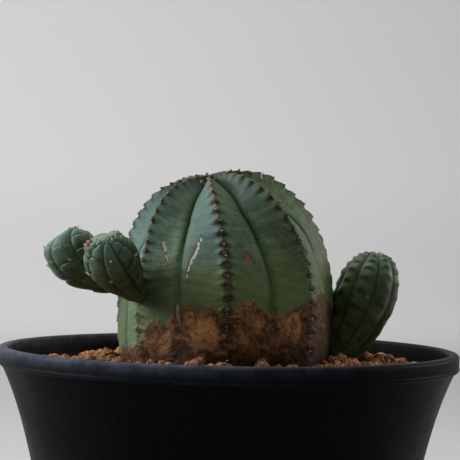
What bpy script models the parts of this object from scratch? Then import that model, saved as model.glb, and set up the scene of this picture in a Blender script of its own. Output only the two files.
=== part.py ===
"""Potted euphorbia: a ribbed ball-shaped succulent with three offsets, planted in a black nursery pot.

Metres, +Z up. The origin is the centre of the pot's foot, on the surface that the pot stands on.
The front is -Y, and azimuths are degrees from the front towards +X.
"""

import math
import random

import bmesh
import bpy
import numpy as np
from mathutils import Vector

# Pot
POT_HEIGHT = 0.095
RIM_DIAMETER = 0.120
FOOT_DIAMETER = 0.076
WALL = 0.0015
LIP_HEIGHT = 0.0044  # rolled band round the rim
LIP_PROUD = 0.0009  # how far the band stands out from the wall
LIP_WIDTH = 0.0028  # across its flat top
LIP_ROUND = 0.0011  # radius of its two top edges
FLARE = 0.0041  # extra outward sweep that the wall gains at the lip
FLARE_LENGTH = 0.013  # height over which that sweep fades by two thirds
FOOT_RING_WIDTH = 0.0035
FOOT_RING_HEIGHT = 0.003
FLOOR = 0.002
SLOT_COUNT = 8
SLOT_WIDTH = 0.003
SLOT_LENGTH = 0.015
SLOT_START = 0.008  # from the axis to a slot's inner end
POT_STEPS = 48

# Soil
SOIL_DROP = 0.005  # from the rim down to the open soil surface
SOIL_MOUND = 0.0020  # rise where the soil meets the stem
MOUND_WIDTH = 0.007
GRANULE_COUNT = 20
GRANULE_DIAMETER = 0.0036
GRANULE_SPREAD = 0.18  # share by which one granule differs from the next
GRANULE_CHIP = 0.86  # least share of its radius that a corner of a granule keeps
WATERING_HALF_WIDTH = 0.014  # of the four open parts of the soil surface, front, back, left and right

# Main stem
STEM_DIAMETER = 0.0575
STEM_RISE = 0.0135  # from the rim up to the widest level of the body
STEM_OFF_CENTRE = (-0.0004, -0.0015)
CROWN_LEAN = 10.0  # degrees that the crown leans to the left
CROWN_NOD = 7.0  # degrees that the crown leans to the front
RIB_AZIMUTHS = (0.0, 48.0, 99.0, 142.0, 186.0, 230.0, 273.0, 311.0)
# Distance from the body's centre to a rib's crest, as a share of the stem's radius, by the angle
# from the crown. Past 125 degrees the stem is under the soil and tapers into its root.
CREST_OUTLINE = (
    (0, 1.115),
    (12, 1.145),
    (24, 1.16),
    (40, 1.11),
    (60, 1.03),
    (80, 1.0),
    (100, 1.02),
    (125, 1.14),
    (150, 1.2),
    (180, 1.22),
)
# Depth of the furrow between two ribs, as a share of the crest's distance, by the same angle.
FURROW_DEPTH = ((0, 0.03), (12, 0.12), (35, 0.16), (60, 0.11), (85, 0.075), (110, 0.05), (180, 0.03))
FLANK_CROWN = 0.012  # outward swell of a flank between crest and furrow
STEM_SEGMENTS_PER_RIB = 8
STEM_RINGS = 20

# Offsets. Each grows from the rib at its azimuth, along a curve set by three points: its start inside
# the stem, its elbow and its tip, each as (distance out from the stem's widest crest, rise above the rim).
OFFSETS = {
    "offset_front_left": {
        "azimuth": 310.0,
        "path": ((-0.0067, 0.0103), (0.0094, 0.0196), (0.0137, 0.0302)),
        "diameter": 0.0150,
    },
    "offset_back_left": {
        "azimuth": 266.5,
        "path": ((-0.0051, 0.0160), (0.0089, 0.0175), (0.0172, 0.0298)),
        "diameter": 0.0156,
    },
    "offset_right": {
        "azimuth": 99.0,
        "path": ((-0.0039, -0.0035), (0.0086, 0.0035), (0.0099, 0.0256)),
        "diameter": 0.0172,
    },
}
OFFSET_RIBS = 6
OFFSET_FURROW = 0.06
OFFSET_BLUNTNESS = 0.7  # power of the sine that rounds an offset's ends: less is blunter
OFFSET_NECK = 0.42  # share of the width that is left at the neck
OFFSET_FULL = 0.62  # share of the axis past which an offset has its full width
OFFSET_SEGMENTS = 36
OFFSET_RINGS = 12

# Dry flower stalks, each on the piece named, by angle from its crown and azimuth round it
STALK_DIAMETER = 0.0007
STALK_LENGTH = 0.0026
STALK_CURL = 0.35  # share of its length that a stalk's end curls up
STALK_TAPER = 0.3
STALK_STEPS = 5
STALKS = {
    "stalk_crown": ("main_stem", 25.0, 108.0, 1.4),
    "stalk_front_left_1": ("offset_front_left", 47.0, 355.0, 1.0),
    "stalk_front_left_2": ("offset_front_left", 69.0, 30.0, 1.0),
    "stalk_front_left_3": ("offset_front_left", 54.0, 305.0, 0.7),
    "stalk_front_left_4": ("offset_front_left", 79.0, 325.0, 0.9),
    "stalk_front_left_5": ("offset_front_left", 69.0, 245.0, 0.8),
    "stalk_front_left_6": ("offset_front_left", 27.0, 205.0, 0.5),
    "stalk_back_left_1": ("offset_back_left", 49.0, 350.0, 0.8),
    "stalk_back_left_2": ("offset_back_left", 39.0, 270.0, 0.7),
}

SEAT_GAP = 0.0003  # clearance between any two pieces that rest on each other
SEED = 11
EPSILON = 0.00001
NORMAL_STEP = 0.001

STEM_RADIUS = STEM_DIAMETER / 2
STEM_CENTRE = np.array((*STEM_OFF_CENTRE, POT_HEIGHT + STEM_RISE))
SOIL_LEVEL = POT_HEIGHT - SOIL_DROP
FLOOR_TOP = FOOT_RING_HEIGHT + FLOOR


def clear_scene():
    for obj in list(bpy.data.objects):
        bpy.data.objects.remove(obj, do_unlink=True)


def make_collection(name):
    collection = bpy.data.collections.new(name)
    bpy.context.scene.collection.children.link(collection)
    return collection


def make_material(name, colour, roughness):
    material = bpy.data.materials.new(name)
    material.use_nodes = True
    shader = material.node_tree.nodes["Principled BSDF"]
    shader.inputs["Base Color"].default_value = (*colour, 1.0)
    shader.inputs["Roughness"].default_value = roughness
    shader.inputs["Metallic"].default_value = 0.0
    return material


def add_object(name, data, collection, material=None):
    obj = bpy.data.objects.new(name, data)
    collection.objects.link(obj)
    if material:
        data.materials.append(material)
    return obj


def add_cutter(name, mesh, collection):
    obj = add_object(name, mesh, collection)
    obj.hide_render = True
    obj.display_type = "WIRE"
    return obj


def cut(obj, cutter):
    modifier = obj.modifiers.new("cut_" + cutter.name, "BOOLEAN")
    modifier.operation = "DIFFERENCE"
    modifier.solver = "EXACT"
    modifier.object = cutter


def turned(name, profile, steps, collection, material=None):
    """A body of revolution from a profile of (radius, height) points, from the axis out, down and back."""
    points = [(radius, 0.0, height) for radius, height in profile]
    edges = [(i, i + 1) for i in range(len(points) - 1)]
    mesh = bpy.data.meshes.new(name)
    mesh.from_pydata(points, edges, [])
    obj = add_object(name, mesh, collection, material)
    screw = obj.modifiers.new("turn", "SCREW")
    screw.steps = steps
    screw.render_steps = steps
    screw.use_merge_vertices = True
    screw.merge_threshold = EPSILON
    screw.use_smooth_shade = True
    return obj


def arc(centre, radius, first, last, count):
    """Points on a circle in the profile plane, from the first angle to the last, in degrees."""
    angles = np.radians(np.linspace(first, last, count))
    return [(centre[0] + radius * math.cos(a), centre[1] + radius * math.sin(a)) for a in angles]


def pot_outer_radius(height):
    """Straight taper from the foot, plus a flare that grows towards the lip."""
    lip_base = POT_HEIGHT - LIP_HEIGHT
    foot = FOOT_DIAMETER / 2
    at_lip = RIM_DIAMETER / 2 - LIP_PROUD
    taper = (at_lip - FLARE - foot) / lip_base
    return foot + taper * height + FLARE * math.exp((height - lip_base) / FLARE_LENGTH)


def pot_inner_radius(height):
    return min(pot_outer_radius(min(height, POT_HEIGHT - LIP_HEIGHT)) - WALL, RIM_DIAMETER / 2 - LIP_WIDTH)


def wall_heights(low, high, count):
    """Heights up the wall, closer together towards the top, where it curves."""
    return [low + (high - low) * (1 - (1 - i / (count - 1)) ** 1.6) for i in range(count)]


def make_pot(parts, cutters, material):
    rim = RIM_DIAMETER / 2
    foot = FOOT_DIAMETER / 2
    lip_base = POT_HEIGHT - LIP_HEIGHT
    inner_lip = rim - LIP_WIDTH
    inner_wall = [(pot_inner_radius(z), z) for z in wall_heights(FLOOR_TOP, lip_base, 8)]
    outer_wall = [(pot_outer_radius(z), z) for z in wall_heights(EPSILON, lip_base, 9)][::-1]
    profile = [(0.0, FLOOR_TOP)]
    profile += inner_wall
    profile += arc((inner_lip + LIP_ROUND, POT_HEIGHT - LIP_ROUND), LIP_ROUND, 180, 90, 4)
    profile += arc((rim - LIP_ROUND, POT_HEIGHT - LIP_ROUND), LIP_ROUND, 90, 0, 4)
    profile += [(rim, lip_base + LIP_PROUD), (rim - LIP_PROUD / 2, lip_base + EPSILON)]
    profile += outer_wall[:-1]
    profile += [(foot, 0.0), (foot - FOOT_RING_WIDTH, 0.0), (foot - FOOT_RING_WIDTH, FOOT_RING_HEIGHT)]
    profile += [(0.0, FOOT_RING_HEIGHT)]
    pot = turned("pot", profile, POT_STEPS, parts, material)
    for index in range(SLOT_COUNT):
        angle = 2 * math.pi * (index + 0.5) / SLOT_COUNT
        shape = bmesh.new()
        bmesh.ops.create_cube(shape, size=1.0)
        bmesh.ops.scale(shape, vec=(SLOT_LENGTH, SLOT_WIDTH, 3 * FLOOR), verts=shape.verts)
        mesh = bpy.data.meshes.new("drain_slot")
        shape.to_mesh(mesh)
        shape.free()
        slot = add_cutter(f"drain_slot_{index + 1}", mesh, cutters)
        along = SLOT_START + SLOT_LENGTH / 2
        slot.location = (along * math.cos(angle), along * math.sin(angle), FOOT_RING_HEIGHT + FLOOR / 2)
        slot.rotation_euler = (0.0, 0.0, angle)
        cut(pot, slot)
    return pot


def soil_surface(radius):
    """Level of the soil: flat out to the wall, with a low mound round the stem."""
    past = max(radius - STEM_RADIUS, 0.0) / MOUND_WIDTH
    return SOIL_LEVEL + SOIL_MOUND * max(1 - past, 0.0) ** 2


def make_soil(parts, material, cutters_to_apply):
    top_radius = pot_inner_radius(SOIL_LEVEL) - SEAT_GAP
    bottom = FLOOR_TOP + SEAT_GAP
    surface_radii = np.linspace(STEM_RADIUS - 0.004, STEM_RADIUS + MOUND_WIDTH, 6)
    side = [(pot_inner_radius(z) - SEAT_GAP, z) for z in wall_heights(bottom, SOIL_LEVEL, 8)][::-1]
    profile = [(0.0, soil_surface(0.0))]
    profile += [(r, soil_surface(r)) for r in surface_radii]
    profile += [(top_radius, SOIL_LEVEL)] + side[1:]
    profile += [(0.0, bottom)]
    soil = turned("soil_bed", profile, POT_STEPS, parts, material)
    for cutter in cutters_to_apply:
        cut(soil, cutter)
    return soil


def curve_through(points, at):
    """A smooth curve through (position, value) points, with the slopes of a Catmull-Rom spline."""
    xs, ys = np.array(points, dtype=float).T
    slopes = np.gradient(ys, xs)
    index = np.clip(np.searchsorted(xs, at, side="right") - 1, 0, len(xs) - 2)
    span = xs[index + 1] - xs[index]
    t = (at - xs[index]) / span
    start = (2 * t**3 - 3 * t**2 + 1) * ys[index] + (t**3 - 2 * t**2 + t) * span * slopes[index]
    return start + (3 * t**2 - 2 * t**3) * ys[index + 1] + (t**3 - t**2) * span * slopes[index + 1]


def stem_points(rib_place, down, extra=0.0):
    """The main stem's surface, grown outwards by extra.

    rib_place counts ribs round the stem, whole at a crest and half way at a furrow, and down is the
    angle from the crown in degrees. A flank runs straight from crest to furrow, so one over its
    radius is a sine mix of the two ends. Each ring then turns about the body's centre by the lean,
    which fades from the crown to the widest level.
    """
    azimuths = np.radians(np.array(RIB_AZIMUTHS + (RIB_AZIMUTHS[0] + 360.0,)))
    count = len(RIB_AZIMUTHS)
    place = np.mod(rib_place, count)
    whole = np.floor(place).astype(int)
    part = place - whole
    spacing = azimuths[whole + 1] - azimuths[whole]
    azimuth = azimuths[whole] + part * spacing
    from_crest = np.minimum(part, 1 - part) * 2
    half = spacing / 2
    crest = STEM_RADIUS * curve_through(CREST_OUTLINE, down)
    furrow = crest * (1 - curve_through(FURROW_DEPTH, down))
    alpha = from_crest * half
    flank = np.sin(half) / (np.sin(half - alpha) / crest + np.sin(alpha) / furrow)
    flank = flank * (1 + FLANK_CROWN * np.sin(np.pi * from_crest)) + extra
    phi = np.radians(down)
    x = flank * np.sin(phi) * np.sin(azimuth)
    y = -flank * np.sin(phi) * np.cos(azimuth)
    z = flank * np.cos(phi)
    share = np.clip(np.cos(phi), 0.0, 1.0)
    lean = np.radians(CROWN_LEAN) * share
    nod = np.radians(CROWN_NOD) * share
    x, z = x * np.cos(lean) - z * np.sin(lean), x * np.sin(lean) + z * np.cos(lean)
    y, z = y * np.cos(nod) - z * np.sin(nod), y * np.sin(nod) + z * np.cos(nod)
    return STEM_CENTRE + np.stack([x, y, z], axis=-1)


def sphere_mesh(name, segments, rings, shape):
    """A UV sphere whose vertices are moved to shape(turn, down): turns round the axis and degrees from the pole."""
    ball = bmesh.new()
    bmesh.ops.create_uvsphere(ball, u_segments=segments, v_segments=rings, radius=1.0)
    places = np.array([v.co for v in ball.verts])
    down = np.degrees(np.arccos(np.clip(places[:, 2], -1.0, 1.0)))
    turn = np.mod(np.arctan2(places[:, 0], -places[:, 1]) / (2 * np.pi), 1.0)
    for vertex, place in zip(ball.verts, shape(turn, down)):
        vertex.co = Vector(place)
    if ball.calc_volume(signed=True) < 0:
        bmesh.ops.reverse_faces(ball, faces=ball.faces)
    mesh = bpy.data.meshes.new(name)
    ball.to_mesh(mesh)
    ball.free()
    mesh.shade_smooth()
    return mesh


def stem_mesh(name, extra=0.0):
    ribs = len(RIB_AZIMUTHS)

    def shape(turn, down):
        return stem_points(turn * ribs, down, extra)

    return sphere_mesh(name, ribs * STEM_SEGMENTS_PER_RIB, STEM_RINGS, shape)


def offset_place(spec, index):
    """One of the three points that set an offset's axis."""
    out, rise = spec["path"][index]
    azimuth = math.radians(spec["azimuth"])
    reach = STEM_RADIUS + out
    x = STEM_CENTRE[0] + reach * math.sin(azimuth)
    y = STEM_CENTRE[1] - reach * math.cos(azimuth)
    return np.array((x, y, POT_HEIGHT + rise))


def offset_points(spec, turn, down, extra=0.0):
    """An offset's surface: rings on a curved axis, narrow at the neck, fullest past the middle, ribbed.

    The axis is a quadratic curve from its start, bent by its elbow, to its tip.
    """
    start, elbow, tip = (offset_place(spec, index) for index in range(3))
    phi = np.radians(180.0 - down)
    along = ((1 - np.cos(phi)) / 2)[:, None]
    centre = (1 - along) ** 2 * start + 2 * along * (1 - along) * elbow + along**2 * tip
    heading = 2 * (1 - along) * (elbow - start) + 2 * along * (tip - elbow)
    heading /= np.linalg.norm(heading, axis=1, keepdims=True)
    side = np.cross(elbow - start, tip - elbow)
    side /= np.linalg.norm(side)
    across = np.cross(side, heading)
    widening = np.clip(along[:, 0] / OFFSET_FULL, 0.0, 1.0)
    neck = OFFSET_NECK + (1 - OFFSET_NECK) * widening**2 * (3 - 2 * widening)
    ribs = 1 - OFFSET_FURROW * (1 - np.cos(2 * np.pi * turn * OFFSET_RIBS)) / 2
    radius = spec["diameter"] / 2 * np.sin(phi) ** OFFSET_BLUNTNESS * neck * ribs
    swell = radius + extra
    tilt = 2 * np.pi * turn
    ring = np.sin(tilt)[:, None] * side - np.cos(tilt)[:, None] * across
    ends = -np.cos(phi)[:, None] * heading * extra
    return centre + swell[:, None] * ring * (np.sin(phi) > EPSILON)[:, None] + ends


def offset_mesh(name, spec, extra=0.0):
    def shape(turn, down):
        return offset_points(spec, turn, down, extra)

    return sphere_mesh(name, OFFSET_SEGMENTS, OFFSET_RINGS, shape)


def surface_of(piece, down, azimuth):
    """A point on a stem and the way out of it there."""
    if piece == "main_stem":
        azimuths = RIB_AZIMUTHS + (RIB_AZIMUTHS[0] + 360.0,)
        place = np.interp(azimuth, azimuths, range(len(azimuths)))
        point = stem_points(np.array([place]), np.array([down]))[0]
        return point, (point - STEM_CENTRE) / np.linalg.norm(point - STEM_CENTRE)
    spec = OFFSETS[piece]
    turn = np.array([azimuth / 360.0])
    point = offset_points(spec, turn, np.array([down]))[0]
    swollen = offset_points(spec, turn, np.array([down]), NORMAL_STEP)[0]
    return point, (swollen - point) / np.linalg.norm(swollen - point)


def make_stalk(name, parts, material):
    piece, down, azimuth, scale = STALKS[name]
    point, outward = surface_of(piece, down, azimuth)
    length = STALK_LENGTH * scale
    root = point + outward * (SEAT_GAP + STALK_DIAMETER / 2)
    curve = bpy.data.curves.new(name, "CURVE")
    curve.dimensions = "3D"
    curve.bevel_depth = STALK_DIAMETER / 2
    curve.bevel_resolution = 1
    curve.use_fill_caps = True
    spline = curve.splines.new("POLY")
    spline.points.add(STALK_STEPS - 1)
    for index in range(STALK_STEPS):
        t = index / (STALK_STEPS - 1)
        place = root + outward * length * t + np.array((0.0, 0.0, length * STALK_CURL * t**2))
        spline.points[index].co = (*place, 1.0)
        spline.points[index].radius = 1.0 - STALK_TAPER * t
    return add_object(name, curve, parts, material)


def watering_spaces():
    """Lowest and highest x and y of the open parts of the soil surface, clear of the mound and the wall."""
    half = WATERING_HALF_WIDTH
    near = STEM_RADIUS + MOUND_WIDTH - min(STEM_OFF_CENTRE)
    far = math.sqrt(pot_inner_radius(SOIL_LEVEL) ** 2 - half**2) - SEAT_GAP
    right = OFFSETS["offset_right"]
    past_offset = STEM_RADIUS + right["path"][1][0] + right["diameter"] / 2
    return (
        (-half, half, -far, -near),
        (-half, half, near, far),
        (-far, -near, -half, half),
        (past_offset, far, -half, half),
    )


def granule_places(generator):
    """Places on the open soil, clear of the stems, the wall, the watering spaces and each other."""
    keep = GRANULE_DIAMETER * (1 + GRANULE_SPREAD) + SEAT_GAP
    inner = STEM_RADIUS + MOUND_WIDTH / 2 + keep
    outer = pot_inner_radius(SOIL_LEVEL) - keep
    right = OFFSETS["offset_right"]
    offset_foot = Vector(offset_place(right, 1)).to_2d()
    offset_clear = (right["diameter"] + keep) / 2 + keep / 2
    places = []
    for _ in range(20000):
        if len(places) == GRANULE_COUNT:
            break
        azimuth = generator.uniform(0, 2 * math.pi)
        radius = math.sqrt(generator.uniform(inner**2, outer**2))
        place = Vector((radius * math.sin(azimuth), -radius * math.cos(azimuth)))
        near_space = any(
            low_x - keep / 2 < place.x < high_x + keep / 2 and low_y - keep / 2 < place.y < high_y + keep / 2
            for low_x, high_x, low_y, high_y in watering_spaces()
        )
        near_offset = (place - offset_foot).length < offset_clear
        crowded = any((place - other).length < keep for other in places)
        if not (near_space or near_offset or crowded):
            places.append(place)
    return places


def make_granule(index, place, generator, parts, material):
    radius = GRANULE_DIAMETER / 2 * generator.uniform(1 - GRANULE_SPREAD, 1 + GRANULE_SPREAD)
    lump = bmesh.new()
    bmesh.ops.create_icosphere(lump, subdivisions=2, radius=radius)
    for vertex in lump.verts:
        vertex.co *= generator.uniform(GRANULE_CHIP, 1.0)
    mesh = bpy.data.meshes.new(f"granule_{index:02d}")
    lump.to_mesh(mesh)
    lump.free()
    granule = add_object(f"granule_{index:02d}", mesh, parts, material)
    granule.location = (place.x, place.y, soil_surface(place.length) + SEAT_GAP + radius)
    granule.rotation_euler = [generator.uniform(0, math.pi) for _ in range(3)]
    return granule


def main():
    clear_scene()
    parts = make_collection("potted_euphorbia")
    cutters = make_collection("potted_euphorbia_cutters")
    cutters.hide_render = True
    black_plastic = make_material("black_plastic", (0.012, 0.013, 0.016), 0.55)
    soil_clay = make_material("baked_clay_soil", (0.27, 0.12, 0.06), 0.95)
    green_skin = make_material("green_skin", (0.085, 0.17, 0.115), 0.6)
    dry_stalk = make_material("dry_stalk", (0.45, 0.33, 0.2), 0.9)

    make_pot(parts, cutters, black_plastic)
    stem_seat = add_cutter("stem_seat", stem_mesh("stem_seat", SEAT_GAP), cutters)
    right = OFFSETS["offset_right"]
    offset_seat = add_cutter("offset_seat", offset_mesh("offset_seat", right, SEAT_GAP), cutters)
    make_soil(parts, soil_clay, (stem_seat, offset_seat))
    add_object("main_stem", stem_mesh("main_stem"), parts, green_skin)
    for name, spec in OFFSETS.items():
        offset = add_object(name, offset_mesh(name, spec), parts, green_skin)
        cut(offset, stem_seat)
    for name in STALKS:
        make_stalk(name, parts, dry_stalk)
    generator = random.Random(SEED)
    for index, place in enumerate(granule_places(generator)):
        make_granule(index + 1, place, generator, parts, soil_clay)


main()
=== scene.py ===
import math

import bpy
import numpy as np
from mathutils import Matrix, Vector


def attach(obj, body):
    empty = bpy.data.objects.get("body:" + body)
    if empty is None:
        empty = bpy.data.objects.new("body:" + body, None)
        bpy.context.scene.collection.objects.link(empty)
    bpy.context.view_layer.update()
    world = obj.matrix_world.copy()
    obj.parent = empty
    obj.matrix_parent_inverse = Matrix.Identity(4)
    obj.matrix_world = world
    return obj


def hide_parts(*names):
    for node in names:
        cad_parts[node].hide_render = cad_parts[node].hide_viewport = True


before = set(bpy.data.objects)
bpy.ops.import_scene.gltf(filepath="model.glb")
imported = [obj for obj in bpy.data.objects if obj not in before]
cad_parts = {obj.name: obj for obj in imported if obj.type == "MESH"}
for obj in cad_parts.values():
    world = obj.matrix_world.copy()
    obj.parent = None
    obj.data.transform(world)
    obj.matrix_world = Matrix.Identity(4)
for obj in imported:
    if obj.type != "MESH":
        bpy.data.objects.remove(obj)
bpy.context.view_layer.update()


# ---- small tools for numbers and meshes

def unit(vectors):
    return vectors / np.linalg.norm(vectors, axis=-1, keepdims=True)


def hill(at, middle, width):
    # 1 at the middle, falling off on both sides like a bell
    return np.exp(-(((at - middle) / width) ** 2))


def softStep(low, high, at):
    # 0 below low, 1 above high, with a smooth S between
    share = np.clip((at - low) / (high - low), 0.0, 1.0)
    return share * share * (3 - 2 * share)


def curveThrough(points, at):
    # A smooth curve through the points: cubic pieces whose slopes come from their neighbours
    xs, ys = np.array(points, dtype=float).T
    slopes = np.gradient(ys, xs)
    index = np.clip(np.searchsorted(xs, at, side="right") - 1, 0, len(xs) - 2)
    span = xs[index + 1] - xs[index]
    t = np.clip((at - xs[index]) / span, 0.0, 1.0)
    start = (2 * t**3 - 3 * t**2 + 1) * ys[index] + (t**3 - 2 * t**2 + t) * span * slopes[index]
    return start + (3 * t**2 - 2 * t**3) * ys[index + 1] + (t**3 - t**2) * span * slopes[index + 1]


def unevenness(points, wavelength, seed, waves=9):
    # Soft lumps, about -1 to 1: a sum of sine waves that cross the points in random directions
    rng = np.random.default_rng(seed)
    headings = unit(rng.normal(size=(waves, 3)))
    lengths = wavelength * rng.uniform(0.7, 1.5, waves)
    phases = rng.uniform(0, 2 * math.pi, waves)
    swell = np.sin((points @ headings.T) * (2 * math.pi / lengths) + phases)
    return swell.sum(axis=-1) / math.sqrt(waves)


def buildMesh(name, vertices, quads, triangles=None):
    triangles = np.zeros((0, 3), int) if triangles is None else triangles
    corners = np.concatenate([quads.ravel(), triangles.ravel()]).astype(np.int32)
    starts = np.concatenate([np.arange(len(quads)) * 4, len(quads) * 4 + np.arange(len(triangles)) * 3])
    mesh = bpy.data.meshes.new(name)
    mesh.vertices.add(len(vertices))
    mesh.vertices.foreach_set("co", np.ascontiguousarray(vertices, np.float32).ravel())
    mesh.loops.add(len(corners))
    mesh.loops.foreach_set("vertex_index", corners)
    mesh.polygons.add(len(starts))
    mesh.polygons.foreach_set("loop_start", starts.astype(np.int32))
    mesh.update(calc_edges=True)
    mesh.shade_smooth()
    return mesh


def addMarks(mesh, marks):
    # One number for each vertex, for the material to read
    for name, values in marks.items():
        layer = mesh.attributes.new(name, "FLOAT", "POINT")
        layer.data.foreach_set("value", np.ascontiguousarray(values, np.float32).ravel())


def ballFaces(rows, columns):
    # Quads between rings and a fan of triangles at either pole; vertex 0 is one pole, the last the other
    ring = np.arange((rows - 2) * columns).reshape(rows - 2, columns) + 1
    onward = np.roll(ring, -1, axis=1)
    quads = np.stack([ring[:-1], ring[1:], onward[1:], onward[:-1]], axis=-1).reshape(-1, 4)
    firstFan = np.stack([np.zeros(columns, int), ring[0], onward[0]], axis=-1)
    lastFan = np.stack([np.full(columns, ring[-1, -1] + 1), onward[-1], ring[-1]], axis=-1)
    return ring, quads, np.concatenate([firstFan, lastFan])


def ballGrid(name, points, marks=None, keep=None, extra=None):
    # points[row, column]: rows run from one pole to the other, columns go round and close.
    # Each pole row becomes one vertex with a fan of triangles. Keep tells which faces between the
    # poles' fans stay, and extra holds more quads between the same vertices.
    rows, columns = points.shape[:2]
    _, quads, fans = ballFaces(rows, columns)
    keep = np.ones(len(quads), bool) if keep is None else keep.ravel()
    extra = np.zeros((0, 4), int) if extra is None else extra

    def flat(values):
        inner = values[1:-1].reshape(-1, *values.shape[2:])
        return np.concatenate([values[:1, 0], inner, values[-1:, 0]])

    mesh = buildMesh(name, flat(points), np.concatenate([quads[keep], extra]), fans)
    addMarks(mesh, {key: flat(values) for key, values in (marks or {}).items()})
    layer = mesh.uv_layers.new(name="UVMap")
    # Each corner's place on the unrolled grid; the last column closes at 1, not back at 0
    quadColumn = np.tile(np.arange(columns), rows - 3)
    quadRow = np.repeat(np.arange(1, rows - 2), columns)
    u = np.stack([quadColumn, quadColumn, quadColumn + 1, quadColumn + 1], axis=-1) / columns
    v = np.stack([quadRow, quadRow + 1, quadRow + 1, quadRow], axis=-1) / (rows - 1)
    fan = np.arange(columns)
    topU = np.stack([fan + 0.5, fan, fan + 1], axis=-1) / columns
    topV = np.tile(np.array([0.0, 1.0, 1.0]) / (rows - 1), (columns, 1))
    bottomU = np.stack([fan + 0.5, fan + 1, fan], axis=-1) / columns
    bottomV = 1 - topV
    none = np.zeros(extra.size)
    us = np.concatenate([u[keep].ravel(), none, topU.ravel(), bottomU.ravel()])
    vs = np.concatenate([v[keep].ravel(), none, topV.ravel(), bottomV.ravel()])
    layer.data.foreach_set("uv", np.stack([us, 1 - vs], axis=-1).astype(np.float32).ravel())
    return mesh


def unitBall(columns, rings):
    # Directions on a ball, its two poles first and last, with its quads and triangles
    tilt = np.linspace(0, math.pi, rings + 1)[1:-1, None]
    turn = np.arange(columns)[None, :] * 2 * math.pi / columns
    around = (np.sin(tilt) * np.cos(turn), np.sin(tilt) * np.sin(turn), np.cos(tilt))
    around = np.stack(np.broadcast_arrays(*around), axis=-1).reshape(-1, 3)
    _, quads, fans = ballFaces(rings + 1, columns)
    return np.concatenate([[[0, 0, 1.0]], around, [[0, 0, -1.0]]]), quads, fans


def manyOf(name, shapes, quads, triangles, marks):
    # shapes[piece, vertex]: the same faces over and over, each with its own points
    count, size = shapes.shape[:2]
    step = (np.arange(count) * size)[:, None, None]
    mesh = buildMesh(name, shapes.reshape(-1, 3), (quads + step).reshape(-1, 4),
                     (triangles + step).reshape(-1, 3))
    addMarks(mesh, {key: np.repeat(values, size) for key, values in marks.items()})
    return mesh


def framesAlong(outward):
    # For each direction, three axes with the third along it
    helper = np.where(np.abs(outward[:, 2:3]) < 0.9, [[0.0, 0.0, 1.0]], [[1.0, 0.0, 0.0]])
    first = unit(np.cross(helper, outward))
    return np.stack([first, np.cross(outward, first), outward], axis=1)


def addPiece(name, mesh, material, stands):
    mesh.materials.append(material)
    piece = bpy.data.objects.new(name, mesh)
    bpy.context.scene.collection.objects.link(piece)
    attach(piece, "root")
    if stands:
        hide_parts(*stands)
    print(f"{name}: {len(mesh.polygons)} faces")
    return piece


# ---- small tools for materials

def put(tree, kind, values=None, **settings):
    node = tree.nodes.new("ShaderNode" + kind)
    for key, value in settings.items():
        setattr(node, key, value)
    for key, value in (values or {}).items():
        if isinstance(value, bpy.types.NodeSocket):
            tree.links.new(value, node.inputs[key])
        else:
            node.inputs[key].default_value = value
    return node


def plus(tree, first, second):
    return put(tree, "Math", {0: first, 1: second}, operation="ADD").outputs[0]


def minus(tree, first, second):
    return put(tree, "Math", {0: first, 1: second}, operation="SUBTRACT").outputs[0]


def times(tree, first, second):
    return put(tree, "Math", {0: first, 1: second}, operation="MULTIPLY").outputs[0]


def swing(tree, value, reach):
    # A value that runs from 0 to 1, turned into one that swings about 0
    return times(tree, minus(tree, value, 0.5), reach)


def tint(tree, share, first, second):
    return put(tree, "Mix", {0: share, 6: first, 7: second}, data_type="RGBA").outputs[2]


def ramped(tree, value, low, high, first=0.0, last=1.0):
    values = {0: value, 1: low, 2: high, 3: first, 4: last}
    return put(tree, "MapRange", values, interpolation_type="SMOOTHSTEP").outputs[0]


def noise(tree, place, scale, detail=2.0, rough=0.5, twist=0.0):
    values = {"Vector": place, "Scale": scale, "Detail": detail, "Roughness": rough, "Distortion": twist}
    return put(tree, "TexNoise", values).outputs[0]


def markOf(tree, name):
    return put(tree, "Attribute", attribute_name=name).outputs["Fac"]


def objectPlace(tree):
    return put(tree, "TexCoord").outputs["Object"]


def colour(red, green, blue):
    return (red, green, blue, 1.0)


def newGroup(name, takes, gives):
    group = bpy.data.node_groups.new(name, "ShaderNodeTree")
    for label, kind, value in takes:
        socket = group.interface.new_socket(label, in_out="INPUT", socket_type="NodeSocket" + kind)
        if value is not None:
            socket.default_value = value
    for label, kind in gives:
        group.interface.new_socket(label, in_out="OUTPUT", socket_type="NodeSocket" + kind)
    return group, group.nodes.new("NodeGroupInput").outputs, group.nodes.new("NodeGroupOutput").inputs


def useGroup(tree, group, values):
    return put(tree, "Group", values, node_tree=group).outputs


def addBump(tree, shader, height, strength, distance):
    bump = put(tree, "Bump", {"Strength": strength, "Distance": distance, "Height": height}).outputs[0]
    tree.links.new(bump, shader["Normal"])


def newMaterial(name, roughness=0.5, **shaderValues):
    material = bpy.data.materials.new(name)
    material.use_nodes = True
    tree = material.node_tree
    tree.nodes.clear()
    shader = put(tree, "BsdfPrincipled", {"Roughness": roughness})
    for key, value in shaderValues.items():
        shader.inputs[key.replace("_", " ")].default_value = value
    output = put(tree, "OutputMaterial")
    tree.links.new(shader.outputs[0], output.inputs[0])
    return material, tree, shader.inputs


# ---- effects that several materials share

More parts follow.
